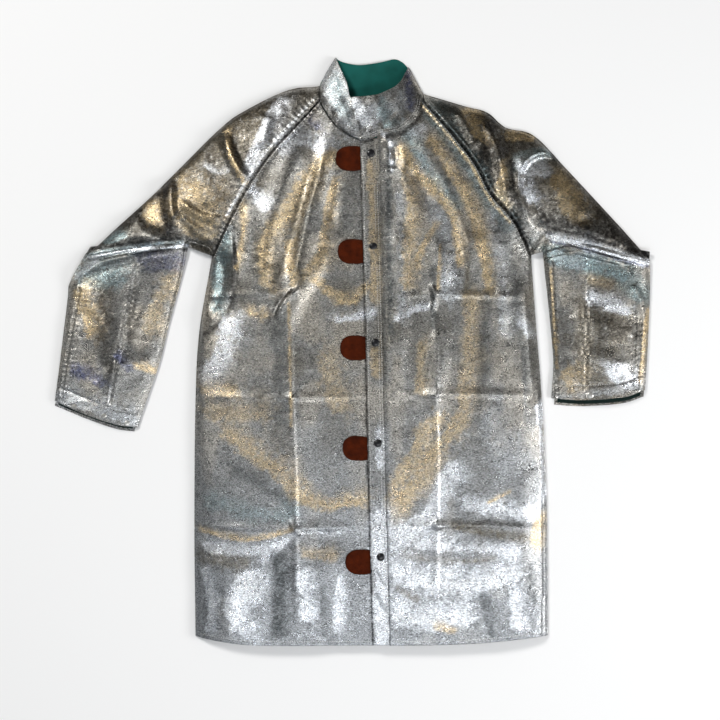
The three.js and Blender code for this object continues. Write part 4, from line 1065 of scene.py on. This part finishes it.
def make_left_front():
    """A patch from the placket's sewn line to the side fold, with its edges turned."""
    rows, cols = counts(92, 29)
    shift = np.array([BAND_WIDTH - 0.6 * MM, 0])
    left = chalk("band_front", rows) + shift
    right = joined(rows, chalk("left_side"), chalk("left_raglan"))
    hem_all = chalk("hem", 200)
    bottom = even(hem_all[hem_all[:, 0] >= left[0, 0]], cols)
    bottom[0] = left[0]
    neck = chalk("left_neck_seam", 100)
    top = even(neck[neck[:, 0] >= left[-1, 0]], cols)
    top[0] = left[-1]
    xy = patch(left, right, bottom, top)
    grid = lifted(xy)
    grid = turn_edge(grid, "right", "roll")
    grid = turn_edge(grid, "left", "drop", 2.2 * MM)
    grid = turn_edge(grid, "top", "drop", 3 * MM)
    grid = turn_edge(grid, "bottom", "roll", 1.2 * MM, 22 * MM)
    return xy, cloth_mesh("front_left_cloth", grid, foil)


right_xy, front_right = make_right_front()
left_xy, front_left = make_left_front()
for front, node_name in ((front_right, "front_right"), (front_left, "front_left")):
    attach(front, "coat_body")
    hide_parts(node_name)
    print(front.name, len(front.data.polygons), "faces")

# %% [markdown]
# ## Back, linings and floor side
#
# The back panel lies flat on the floor. Over it lie its own lining and, above a pocket of air, the
# linings of the two fronts. They show at the hem and in the neck.


# %% Back and linings
def flat_sheet(name, xy, height, material, up=True, waves=0.3):
    """A sheet at one height with faint waves of seeded noise."""
    z = height + waves * MM * np.clip(soft_noise(xy, 3 * CM, 41), 0, 1.5)
    return cloth_mesh(name, np.concatenate([xy, z[..., None]], -1), material, up)


def body_patch(rows, cols, inset, top=None):
    """The whole body from side fold to side fold, drawn in by an inset."""
    left = joined(rows, chalk("right_side"), chalk("right_raglan")) + [inset, inset * 0.3]
    right = joined(rows, chalk("left_side"), chalk("left_raglan")) + [-inset, inset * 0.3]
    bottom = chalk("hem", cols) * [(1 - inset / (30 * CM)), 1] + [inset * 0.12, inset]
    bottom[0], bottom[-1] = left[0], right[0]
    if top is None:
        top = even(np.array([left[-1], right[-1]]), cols)
    left = left + np.linspace(0, 1, rows)[:, None] ** 4 * (top[0] - left[-1])
    right = right + np.linspace(0, 1, rows)[:, None] ** 4 * (top[-1] - right[-1])
    return patch(left, right, bottom, top)


back_xy = body_patch(180, 120, 1.5 * MM)
back = flat_sheet("back_cloth", back_xy, 0.5 * MM, foil, up=False)
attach(back, "coat_body")
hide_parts("back_panel")
back_lining_xy = body_patch(150, 100, 11 * MM)
back_lining = flat_sheet("back_lining_cloth", back_lining_xy, 2.6 * MM, cotton, waves=0.5)
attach(back_lining, "coat_body")
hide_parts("back_lining")


def front_lining(side, first, last):
    """A lining between two shares of the body's width: the plain height less the cloth and some air."""
    neck = curve([(-5.2, 41.6), (-2.2, 37.2), (1.6, 35.6), (7.9, 36.8), (12.2, 41.4)], 121)
    whole = body_patch(120, 121, 12 * MM, neck)[:, int(120 * first) : int(120 * last) + 1]
    z = np.maximum(plain_height(whole) - 7 * MM - closure_drop(whole) * (last < 0.6), 4.2 * MM)
    grid = np.concatenate([whole, z[..., None]], -1)
    lining = cloth_mesh(f"front_lining_{side}_cloth", grid, cotton, up=False)
    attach(lining, "coat_body")
    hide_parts(f"front_lining_{side}")


front_lining("right", 0.0, 0.49)
front_lining("left", 0.57, 1.0)

# %% [markdown]
# ## Sleeves
#
# A raglan sleeve runs to the neck, so its upper part is one long patch from the collar to the crease
# at the elbow. The forearm is a second patch that starts tucked in under the upper part, with pleats
# where the stiff cloth was pushed together.

# %% Pleats at the elbow
PLEATS = {
    "right": [
        (3.6, 3, 8, [(-45.6, 16.1), (-39, 17.2), (-33, 18.0), (-29.6, 18.4)]),
        (3.2, 3, 7, [(-46.4, 14.7), (-40, 16.1), (-34, 17.3), (-30.2, 17.8)]),
        (3.0, 3, 8, [(-47.6, 12.9), (-43.5, 15.0), (-38, 16.2)]),
        (2.8, 4, 6, [(-48.4, 11.4), (-45.6, 13.6), (-43, 14.6)]),
    ],
    "left": [
        (3.6, 3, 7, [(50.6, 15.3), (45, 16.7), (40, 18.1), (34.9, 19.6)]),
        (3.4, 3, 7, [(49.4, 14.8), (45, 15.9), (40, 17.2), (35.2, 18.7)]),
        (3.0, 3, 6, [(47, 14.8), (42, 16.0), (36, 17.7)]),
        (3.0, 6, 8, [(48.4, 11.5), (49.9, 8.7), (50.1, 6)]),
    ],
}
LIP = 3 * MM  # the upper part reaches this far over the crease
TUCK = 11 * MM  # the forearm starts this far above it
GAPE = {"right": 9 * MM, "left": 12 * MM}


def pleat_height(xy, side):
    """Ridges as in fold_height, but sharp on the side of the crease."""
    total = np.zeros(xy.shape[:-1])
    for high, left_width, right_width, points in PLEATS[side]:
        gap, where, share = nearest(xy, curve(points, 16))
        width = np.where(where > 0, left_width, right_width) * MM
        taper = smooth(-0.05, 0.15, share) * smooth(-0.05, 0.15, 1 - share)
        total += 1.5 * high * MM * np.exp(-((gap / width) ** 2)) * taper
    return total


def upper_sleeve(side):
    """A patch from the collar to the crease, raised along the crease by exp(-(d / 14 mm)^2)."""
    rows, cols = counts(48, 24)
    over = chalk(f"{side}_over", rows)
    under = joined(rows, chalk(f"{side}_raglan")[::-1], chalk(f"{side}_under"))
    collar_end = even(np.array([over[0], under[0]]), cols)
    crease = chalk(f"{side}_elbow", cols) + [0, -LIP]
    over = over + np.outer(np.linspace(0, 1, rows) ** 8, [0, -LIP])
    under = under + np.outer(np.linspace(0, 1, rows) ** 8, [0, -LIP])
    xy = patch(over, under, collar_end, crease)
    grid = lifted(xy)
    down = nearest(xy, chalk(f"{side}_elbow"))[0]
    grid[..., 2] += 2.2 * MM * np.exp(-((down / (14 * MM)) ** 2))
    grid = turn_edge(grid, "left", "roll")
    grid = turn_edge(grid, "right", "drop", 3 * MM)
    grid = turn_edge(grid, "bottom", "drop", 3 * MM)
    grid = turn_edge(grid, "top", "roll", 1.5 * MM, 9 * MM)
    return xy, cloth_mesh(f"upper_sleeve_{side}_cloth", grid, foil)


def lower_sleeve(side):
    """A patch from under the crease to the cuff's upper lip, with pleats, let down where it is tucked in."""
    rows, cols = counts(31, 18, 7)
    outer = chalk(f"{side}_outer", rows)
    inner = chalk(f"{side}_inner", rows)
    crease = chalk(f"{side}_elbow", cols)
    cuff = chalk(f"{side}_cuff", cols)
    whole = patch(outer, inner, crease, cuff)
    share = np.linspace(0, 1, rows)[:, None, None]
    down = whole[-1] - whole[0]
    down = down / np.linalg.norm(down, axis=1, keepdims=True)
    xy = whole - down[None] * (TUCK * (1 - smooth(0, 0.25, share)) + GAPE[side] * smooth(0.5, 1, share))
    z = cloth_height(xy) + pleat_height(xy, side)
    crease_gap, _, _ = nearest(xy, chalk(f"{side}_elbow"))
    below = np.where(xy[..., 1] < np.interp(xy[..., 0], *np.sort(crease, 0).T), crease_gap, -crease_gap)
    z = z - 5.5 * MM * (1 - smooth(-4 * MM, 5 * MM, below))
    z = z - cuff_gather(xy, side)
    grid = np.concatenate([xy, np.maximum(z, 3 * MM)[..., None]], -1)
    grid = turn_edge(grid, "left", "roll")
    grid = turn_edge(grid, "right", "roll")
    grid = turn_edge(grid, "top", "roll", 1.3 * MM, 24 * MM)
    return whole, cloth_mesh(f"lower_sleeve_{side}_cloth", grid, foil)


def cuff_gather(xy, side):
    """A shallow groove where the cuff's hem is sewn, 25 mm up from the rim."""
    gap = nearest(xy, chalk(f"{side}_cuff"))[0] - GAPE[side]
    return 0.9 * MM * np.exp(-(((gap - 24 * MM) / (2.5 * MM)) ** 2))


def joint_place(name):
    """Where a joint's axis passes, and its direction."""
    joint = joints[name]
    return np.array(joint["pos_m"]), np.array(joint["axis"])


def back_sheet(name, xy):
    """The back layer of a sleeve: every third point of the same plan, flat on the floor."""
    sheet = flat_sheet(name, xy[::3, ::3], 0.5 * MM, foil, up=False)
    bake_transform(sheet)
    return sheet


for side in ("right", "left"):
    upper_xy, upper = upper_sleeve(side)
    lower_xy, lower = lower_sleeve(side)
    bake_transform(upper)
    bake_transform(lower)
    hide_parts(f"shoulder_{side}", f"upper_sleeve_{side}")
    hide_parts(f"lower_sleeve_{side}")
    upper_back = back_sheet(f"upper_sleeve_{side}_back", upper_xy)
    lower_back = back_sheet(f"lower_sleeve_{side}_back", lower_xy)
    print(side, "sleeve:", len(upper.data.polygons), "and", len(lower.data.polygons), "faces")

    # the lining seen in the cuff, in the darker cotton as painted shade
    inside = lower_xy[::-1, 5:-5][3::3, ::3][::-1]
    inside = inside[len(inside) // 8 :]
    cuff_lining = flat_sheet(f"sleeve_lining_{side}_cloth", inside, 1.4 * MM, shaded_cotton, waves=0.8)
    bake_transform(cuff_lining)
    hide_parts(f"sleeve_lining_{side}")

# %% [markdown]
# ## Collar
#
# The stand collar lies folded flat with the coat. Its back shows its green lining, and its two front
# ends lie over it, the wearer's left end on top. Each end is a patch with rolled edges.


# %% Collar ends
def collar_end(side, front_edge, lift, body_nodes):
    """A patch between foot, mouth, side fold and front edge: plain height plus a lift and faint ripples."""
    rows, cols = 44, 56
    seam = chalk(f"{side}_collar_foot", cols)
    mouth = chalk(f"{side}_collar_mouth", cols)
    fold_line = chalk(f"{side}_collar_side", rows)
    edge = curve(front_edge, rows)
    if side == "left":
        xy = patch(edge, fold_line, seam, mouth)
    else:
        xy = patch(fold_line, edge, seam, mouth)
    across, upward = 2 * np.pi * xy[..., 0] / (3.1 * CM), 2 * np.pi * xy[..., 1] / (4.2 * CM)
    z = plain_height(xy) + lift + 0.35 * crumple(xy) + 0.7 * MM * np.sin(across) * np.sin(upward)
    grid = np.concatenate([xy, z[..., None]], -1)
    grid = turn_edge(grid, "left", "roll", 1.5 * MM)
    grid = turn_edge(grid, "right", "roll", 1.5 * MM)
    grid = turn_edge(grid, "top", "roll", 1.5 * MM, 14 * MM)
    grid = turn_edge(grid, "bottom", "drop", 3 * MM)
    piece = cloth_mesh(f"collar_{side}_cloth", grid, foil)
    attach(piece, "coat_body")
    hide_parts(*body_nodes)
    flat = cut_size(xy)
    flat["area"] *= 1.35  # its hems and the turned edge are cut with it
    flat["flat"] = (flat["flat"][0] * 1.2, flat["flat"][1] * 1.2)


collar_end(
    "left",
    [(1.5, 36.1), (0.7, 40), (0.0, 43.4)],
    1.5 * MM,
    ["collar_front_left", "collar_lining_left"],
)
collar_end(
    "right",
    [(1.7, 36.1), (1.1, 40), (-0.3, 43.5)],
    -2.0 * MM,
    ["collar_front_right", "collar_lining_right"],
)


# %% Collar back
def collar_back_patch(inset):
    """The collar's back between its two side folds, drawn in by an inset."""
    left = curve([(-5.0, 41.6), *LINES["right_collar_side"]], 40) + [inset, 0]
    right = curve([(12.0, 41.2), *LINES["left_collar_side"]], 40) + [-inset, 0]
    top = chalk("collar_back_top", 60) + [0, -inset]
    top[0], top[-1] = left[-1], right[-1]
    bottom = even(np.array([left[0], right[0]]), 60)
    return patch(left, right, bottom, top)


collar_back = flat_sheet("collar_back_cloth", collar_back_patch(0.0), 0.6 * MM, foil, up=False)
inside_xy = collar_back_patch(1.2 * MM)
wave = 1.2 * MM * np.sin(inside_xy[..., 0] / (1.5 * CM)) + 0.8 * MM * soft_noise(inside_xy, 2 * CM, 44)
inside_z = 4 * MM + np.clip(wave, -1.5 * MM, 3 * MM)
inside_grid = np.concatenate([inside_xy, inside_z[..., None]], -1)
inside_grid = turn_edge(inside_grid, "top", "roll", 1.4 * MM, 4 * MM)
collar_lining = cloth_mesh("collar_back_lining", inside_grid, cotton)
for piece, node_name, slot_name in (
    (collar_back, "collar_back", "aluminised_cloth"),
    (collar_lining, "collar_lining_back", "lining"),
):
    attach(piece, "coat_body")
    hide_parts(node_name)

# %% [markdown]
# ## Placket band
#
# The band is the left front's edge folded double, and the snaps are set through it. It is a long
# strip with a soft swell between the snaps, rolled over at its front edge and closed underneath.


# %% Placket
def band_top(y):
    """Height of the band's top, rising evenly from the hem to the neck."""
    low_cad, high_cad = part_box("placket_band")
    return mix(28 * MM, high_cad.z, (y - low_cad.y) / (high_cad.y - low_cad.y))


def make_band():
    """A strip s = 0 to 1 across the width, raised by an arch 1 - (2 s - 1)^6 and a seeded swell."""
    rows, cols = 420, 22
    front = chalk("band_front", rows)
    share = np.linspace(0, 1, cols)[None, :]
    x = front[:, :1] + share * (BAND_WIDTH - 0.2 * MM)
    y = np.repeat(front[:, 1:], cols, 1)
    xy = np.stack([x, y], -1)
    arch = 1 - (2 * share - 1) ** 6
    swell = 0.5 * MM * soft_noise(xy * [0.5, 1], 3.4 * CM, 51) + 0.25 * crumple(xy)
    stitch_dip = 0.5 * MM * np.exp(-(((share - 0.8) / 0.06) ** 2))
    z = band_top(y) - 0.5 * MM + swell * arch + 0.5 * MM * arch - stitch_dip
    grid = np.concatenate([xy, z[..., None]], -1)
    grid = turn_edge(grid, "left", "roll", 1.0 * MM, BAND_WIDTH - 4 * MM)
    grid = turn_edge(grid, "right", "drop", 1.2 * MM)
    grid = turn_edge(grid, "bottom", "drop", 1.8 * MM)
    grid = turn_edge(grid, "top", "drop", 1.8 * MM)
    return cloth_mesh("placket_cloth", grid, foil)


placket = make_band()
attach(placket, "placket")
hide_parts("placket_band")
print("placket", len(placket.data.polygons), "faces")

# %% [markdown]
# ## Stitching
#
# Every seam is held by a row of short stitches in pale thread. One stitch is a grain of rice: three
# rings of six points between two tips. It is copied along a line by adding its shape to each place,
# turned to run with the line. A whole row is one object, hung under an empty named for a body.

# %% Rows of stitches
STITCH = {"length": 2.7 * MM, "pitch": 3.9 * MM, "radius": 0.42 * MM}


def stitch_row(name, line, height):
    """Each point is centre + a along + b across + c up, where a, b, c come from one grain-shaped stitch."""
    length = np.linalg.norm(np.diff(line, axis=0), axis=1).sum()
    centres = even(line, max(int(length / STITCH["pitch"]), 3))
    run = np.gradient(centres, axis=0)
    run = run / np.linalg.norm(run, axis=1, keepdims=True)
    angle = np.arange(6) * np.pi / 3
    rings = [(-0.5, 0.0), (-0.3, 0.8), (0.0, 1.0), (0.3, 0.8), (0.5, 0.0)]
    a = np.repeat([r[0] for r in rings], 6) * STITCH["length"]
    round_part = np.repeat([max(r[1], 0.05) for r in rings], 6) * STITCH["radius"]
    b = round_part * np.tile(np.cos(angle), 5)
    c = round_part * np.tile(np.sin(angle), 5)
    across = np.stack([-run[:, 1], run[:, 0]], -1)
    xy = centres[:, None] + a[None, :, None] * run[:, None] + b[None, :, None] * across[:, None]
    z = height(centres)[:, None] + c[None, :] + 0.15 * MM
    places = np.concatenate([xy, z[..., None]], -1).reshape(-1, 3)
    ring = np.arange(30).reshape(5, 6)
    ring = np.hstack([ring, ring[:, :1]])
    quads = np.stack([ring[:-1, :-1], ring[:-1, 1:], ring[1:, 1:], ring[1:, :-1]], -1).reshape(-1, 4)
    faces = (quads[None] + 30 * np.arange(len(centres))[:, None, None]).reshape(-1, 4)
    return mesh_object(name, places, faces, thread)


def beside(line, distance):
    """A line moved sideways by a distance, to the left of its run."""
    run = np.gradient(line, axis=0)
    run = run / np.linalg.norm(run, axis=1, keepdims=True)
    return line + distance * np.stack([-run[:, 1], run[:, 0]], -1)


def right_front_height(xy):
    """The right front's own height, let down as make_right_front does."""
    return cloth_height(xy) - closure_drop(xy)


def band_height(xy):
    """Just over the band's top."""
    return band_top(xy[:, 1]) + 0.1 * MM


def collar_height(xy):
    """Just over the left collar end."""
    return plain_height(xy) + 1.5 * MM + 0.35 * crumple(xy) + 0.4 * MM


hem_line = chalk("hem", 200) + [0, 6 * MM]
hem_right = hem_line[(hem_line[:, 0] > -26 * CM) & (hem_line[:, 0] < 3.2 * CM)]
hem_left = hem_line[(hem_line[:, 0] > 7.2 * CM) & (hem_line[:, 0] < 33 * CM)]
band_line = chalk("band_front", 80)[2:-2]
body_rows = {
    "stitches_hem_right": (hem_right, right_front_height, "coat_body"),
    "stitches_hem_left": (hem_left, cloth_height, "coat_body"),
    "stitches_raglan_right": (beside(chalk("right_raglan"), -4 * MM), cloth_height, "coat_body"),
    "stitches_raglan_left": (beside(chalk("left_raglan"), 4 * MM), cloth_height, "coat_body"),
    "stitches_placket_edge": (band_line + [3 * MM, 0], band_height, "placket"),
    "stitches_placket_inner": (band_line + [22 * MM, 0], band_height, "placket"),
    "stitches_placket_outer": (band_line + [26.5 * MM, 0], band_height, "placket"),
}
foot = chalk("left_collar_foot")[2:-3]
body_rows["stitches_collar_foot"] = (beside(foot, 4 * MM), collar_height, "coat_body")
body_rows["stitches_collar_foot_second"] = (beside(foot, 8 * MM), collar_height, "coat_body")
for side, upward in (("right", 1), ("left", -1)):
    sewn = beside(chalk(f"{side}_cuff"), upward * (GAPE[side] + 24 * MM))[3:-3]
    body_rows[f"stitches_cuff_{side}"] = (sewn, cloth_height, f"{side}_lower_sleeve")
for name, (line, height, body) in body_rows.items():
    row = stitch_row(name, line, height)
    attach(row, body)
print("rows of stitches:", len(body_rows))

# %% [markdown]
# ## Leather tabs
#
# Each tab is a D of thick leather that sticks out from under the placket, so that a gloved hand can
# pull the snap open. Its half width follows a superellipse, h = (1 - t^p)^(1/p), over the round end.
# The cut edge is darker, and two tabs have curled with use.

# %% Tabs
TAB_CURL = {
    1: (1.2, 0.6, 0.10),
    2: (-2.2, 1.6, -0.06),
    3: (0.8, 1.0, -0.12),
    4: (0.9, 0.8, -0.16),
    5: (0.5, 0.4, 0.02),
}


def make_tab(number):
    """Rows run from the root to the round end, columns across: half width h = w (1 - t^2.35)^(1 / 2.1).

    Thickness is a second layer below, joined to the first as a ring, with both ends closed in a point.
    """
    low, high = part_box(f"tab_{number}")
    root_low, root_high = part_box(f"tab_root_{number}")
    corner_curl, tip_curl, slant = TAB_CURL[number]
    along = np.linspace(0, 1, 44)[:, None]
    around = np.linspace(-1, 1, 33)[None, :]
    width = (high.y - low.y) / 2
    middle_y = (high.y + low.y) / 2
    start_x = mix(high.x, root_high.x, 0.6)
    x = mix(start_x, low.x, along)
    free = np.clip((high.x - x) / (high.x - low.x), 0, 1)
    round_end = np.clip((free - 0.42) / 0.58, 0, 1)
    half = width * (1 - round_end**2.35) ** (1 / 2.1)
    half = np.maximum(half * mix(0.86, 1, smooth(-0.2, 0.25, free)), 0.4 * MM)
    y = middle_y + half * around + slant * half * np.maximum(around, 0) * (free - 0.4) * -0.8
    xy = np.stack([np.broadcast_to(x, y.shape), y], -1)
    swell = 0.6 * MM * np.sin(3 * free) * (1 - around**2)
    top = high.z + swell + 0.3 * MM * soft_noise(xy, 1.1 * CM, 60 + number)
    lower_corner = np.clip(-around, 0, 1) ** 2 * free**2
    z = top + corner_curl * MM * lower_corner + tip_curl * MM * free**3
    under = smooth(0.06, 0.0, free)
    z = mix(z, high.z, np.broadcast_to(under, z.shape))
    upper = np.concatenate([xy, z[..., None]], -1)
    thickness = (high.z - low.z) * 0.85
    lower = upper - [0, 0, thickness]
    rim = np.maximum(np.abs(around), np.where(along > 0.97, 1, 0)) * np.ones_like(z)
    loop = np.concatenate([upper, lower[:, ::-1]], 1)
    root_pole = np.broadcast_to(loop[0].mean(0), loop[0].shape)
    tip_pole = np.broadcast_to(loop[-1].mean(0), loop[0].shape)
    loop = np.concatenate([root_pole[None], loop, tip_pole[None]], 0)
    tab = cloth_mesh(f"tab_{number}_leather", loop, leather, ring=True)
    edge = np.clip((np.concatenate([rim, np.ones_like(rim)], 1) - 0.9) / 0.1, 0, 1)
    edge = np.concatenate([edge[:1], edge, edge[-1:]], 0)
    layer = tab.data.attributes.new("edge", "FLOAT", "POINT")
    layer.data.foreach_set("value", edge.astype(np.float32).ravel())
    return tab


for number in range(1, 6):
    tab = make_tab(number)
    low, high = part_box(f"tab_{number}")
    place, axis = joint_place(f"tab_lift_{number}")
    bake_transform(tab)
    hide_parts(f"tab_{number}", f"tab_root_{number}")
print("tabs made")

# %% [markdown]
# ## Snaps
#
# A snap cap is a shallow pressed dome of black enamel with a thin rolled rim. It is a profile turned
# round an upright axis. The sockets, the studs and the cuff snaps stay as the frame made them, and
# only get a better metal.


# %% Turned parts
def lathe(name, centre, profile, material, steps=48):
    """Pairs of radius r and height h turned round an upright axis: x = r cos(a), y = r sin(a), z = h."""
    angle = np.linspace(0, 2 * np.pi, steps, endpoint=False)
    radius, height = np.array(profile).T
    x = centre[0] + radius[:, None] * np.cos(angle)
    y = centre[1] + radius[:, None] * np.sin(angle)
    z = centre[2] + np.repeat(height[:, None], steps, 1)
    return cloth_mesh(name, np.stack([x, y, z], -1), material, ring=True)


CAP_RIM = [(0.86, 0.28), (0.92, 0.32), (0.97, 0.26), (1.0, 0.14), (0.98, 0.0)]  # shares of radius and height
for number in range(1, 6):
    low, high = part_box(f"snap_cap_{number}")
    centre = ((low.x + high.x) / 2, (low.y + high.y) / 2, low.z)
    radius, rise = (high.x - low.x) / 2, high.z - low.z
    t = np.linspace(0, 1, 14)
    dome = [(radius * 0.84 * np.sin(a), rise * (0.35 + 0.65 * np.cos(a))) for a in t * np.pi / 2]
    rim = [(radius * r, rise * h) for r, h in CAP_RIM]
    cap = lathe(f"snap_cap_{number}_enamel", centre, [*dome, *rim, (0.0, 0.0)], enamel)
    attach(cap, "placket")
    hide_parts(f"snap_cap_{number}")
for name, cad in frame["nodes"].items():
    if name.startswith(("snap_stud", "snap_socket", "cuff_snap")):
        cad.data.materials.clear()
        cad.data.materials.append(nickel)
print("snaps made")

# %% [markdown]
# ## Stage, light and camera
#
# A white floor, a soft light from the upper left for the shadow, and bright panels beyond the hem
# and above, because a metal-faced cloth looks like whatever it mirrors. The world is a quiet
# gradient: light overhead, warm and dim towards the collar.


# %% Floor
def make_floor():
    """One square face, four coat widths out each way, just below the coat."""
    size = 4 * (cad_high.x - cad_low.x)
    corner = np.array([[-size, -size, 0], [size, -size, 0], [size, size, 0], [-size, size, 0]])
    material, nodes, links, shader = new_material("floor_paint")
    shader.inputs["Base Color"].default_value = (0.9, 0.9, 0.9, 1)
    shader.inputs["Roughness"].default_value = 0.9
    shader.inputs["Specular IOR Level"].default_value = 0.1
    return mesh_object("floor", corner - [0, 0, 0.2 * MM], np.array([[0, 1, 2, 3]]), material)


floor = make_floor()


# %% Lights
def area_light(name, place, aim, width, height, power, colour=(1, 1, 1)):
    """A rectangle of light at a place in metres, its -Z axis along aim less place."""
    data = bpy.data.lights.new(name, "AREA")
    data.shape = "RECTANGLE"
    data.size = width
    data.size_y = height
    data.energy = power
    data.color = colour
    lamp = bpy.data.objects.new(name, data)
    bpy.context.scene.collection.objects.link(lamp)
    lamp.location = place
    lamp.rotation_euler = (Vector(aim) - Vector(place)).to_track_quat("-Z", "Y").to_euler()


area_light("key", (-1.9, 1.85, 2.9), (0, 0, 0), 0.9, 0.9, 82, (1.0, 0.99, 0.97))
area_light("hem_panel", (0.35, -1.2, 2.3), (0.1, -0.4, 0), 1.6, 0.55, 17, (0.97, 0.985, 1.0))
area_light("side_panel", (2.4, -0.6, 1.5), (0.1, 0, 0), 0.8, 0.8, 34)

world = bpy.data.worlds.new("studio")
bpy.context.scene.world = world
world.use_nodes = True
sky_nodes, sky_links = world.node_tree.nodes, world.node_tree.links
sky_place = sky_nodes.new("ShaderNodeTexCoord")
split = sky_nodes.new("ShaderNodeSeparateXYZ")
sky_links.new(sky_place.outputs["Generated"], split.inputs[0])
ramp = sky_nodes.new("ShaderNodeValToRGB")
ramp.color_ramp.elements[0].position = 0.15
ramp.color_ramp.elements[0].color = (0.55, 0.58, 0.62, 1)
ramp.color_ramp.elements[1].position = 0.85
ramp.color_ramp.elements[1].color = (0.21, 0.195, 0.17, 1)
lift = sky_nodes.new("ShaderNodeMapRange")
lift.inputs["From Min"].default_value = -1.0
sky_links.new(split.outputs["Y"], lift.inputs["Value"])
sky_links.new(lift.outputs["Result"], ramp.inputs["Fac"])
sky_links.new(ramp.outputs["Color"], sky_nodes["Background"].inputs["Color"])
sky_nodes["Background"].inputs["Strength"].default_value = 0.66

# %% Camera
FRAME_WIDTH = 125.06 * CM
CAMERA_HEIGHT = 3.2
SENSOR = 36.0
camera_data = bpy.data.cameras.new("camera")
camera_data.sensor_width = SENSOR
camera_data.lens = SENSOR * CAMERA_HEIGHT / FRAME_WIDTH
camera = bpy.data.objects.new("camera", camera_data)
camera.location = (1.46 * CM, -1.68 * CM, CAMERA_HEIGHT)
bpy.context.scene.collection.objects.link(camera)
bpy.context.scene.camera = camera
bpy.context.scene.view_settings.view_transform = "Standard"
print("camera lens", round(camera_data.lens, 1), "mm")
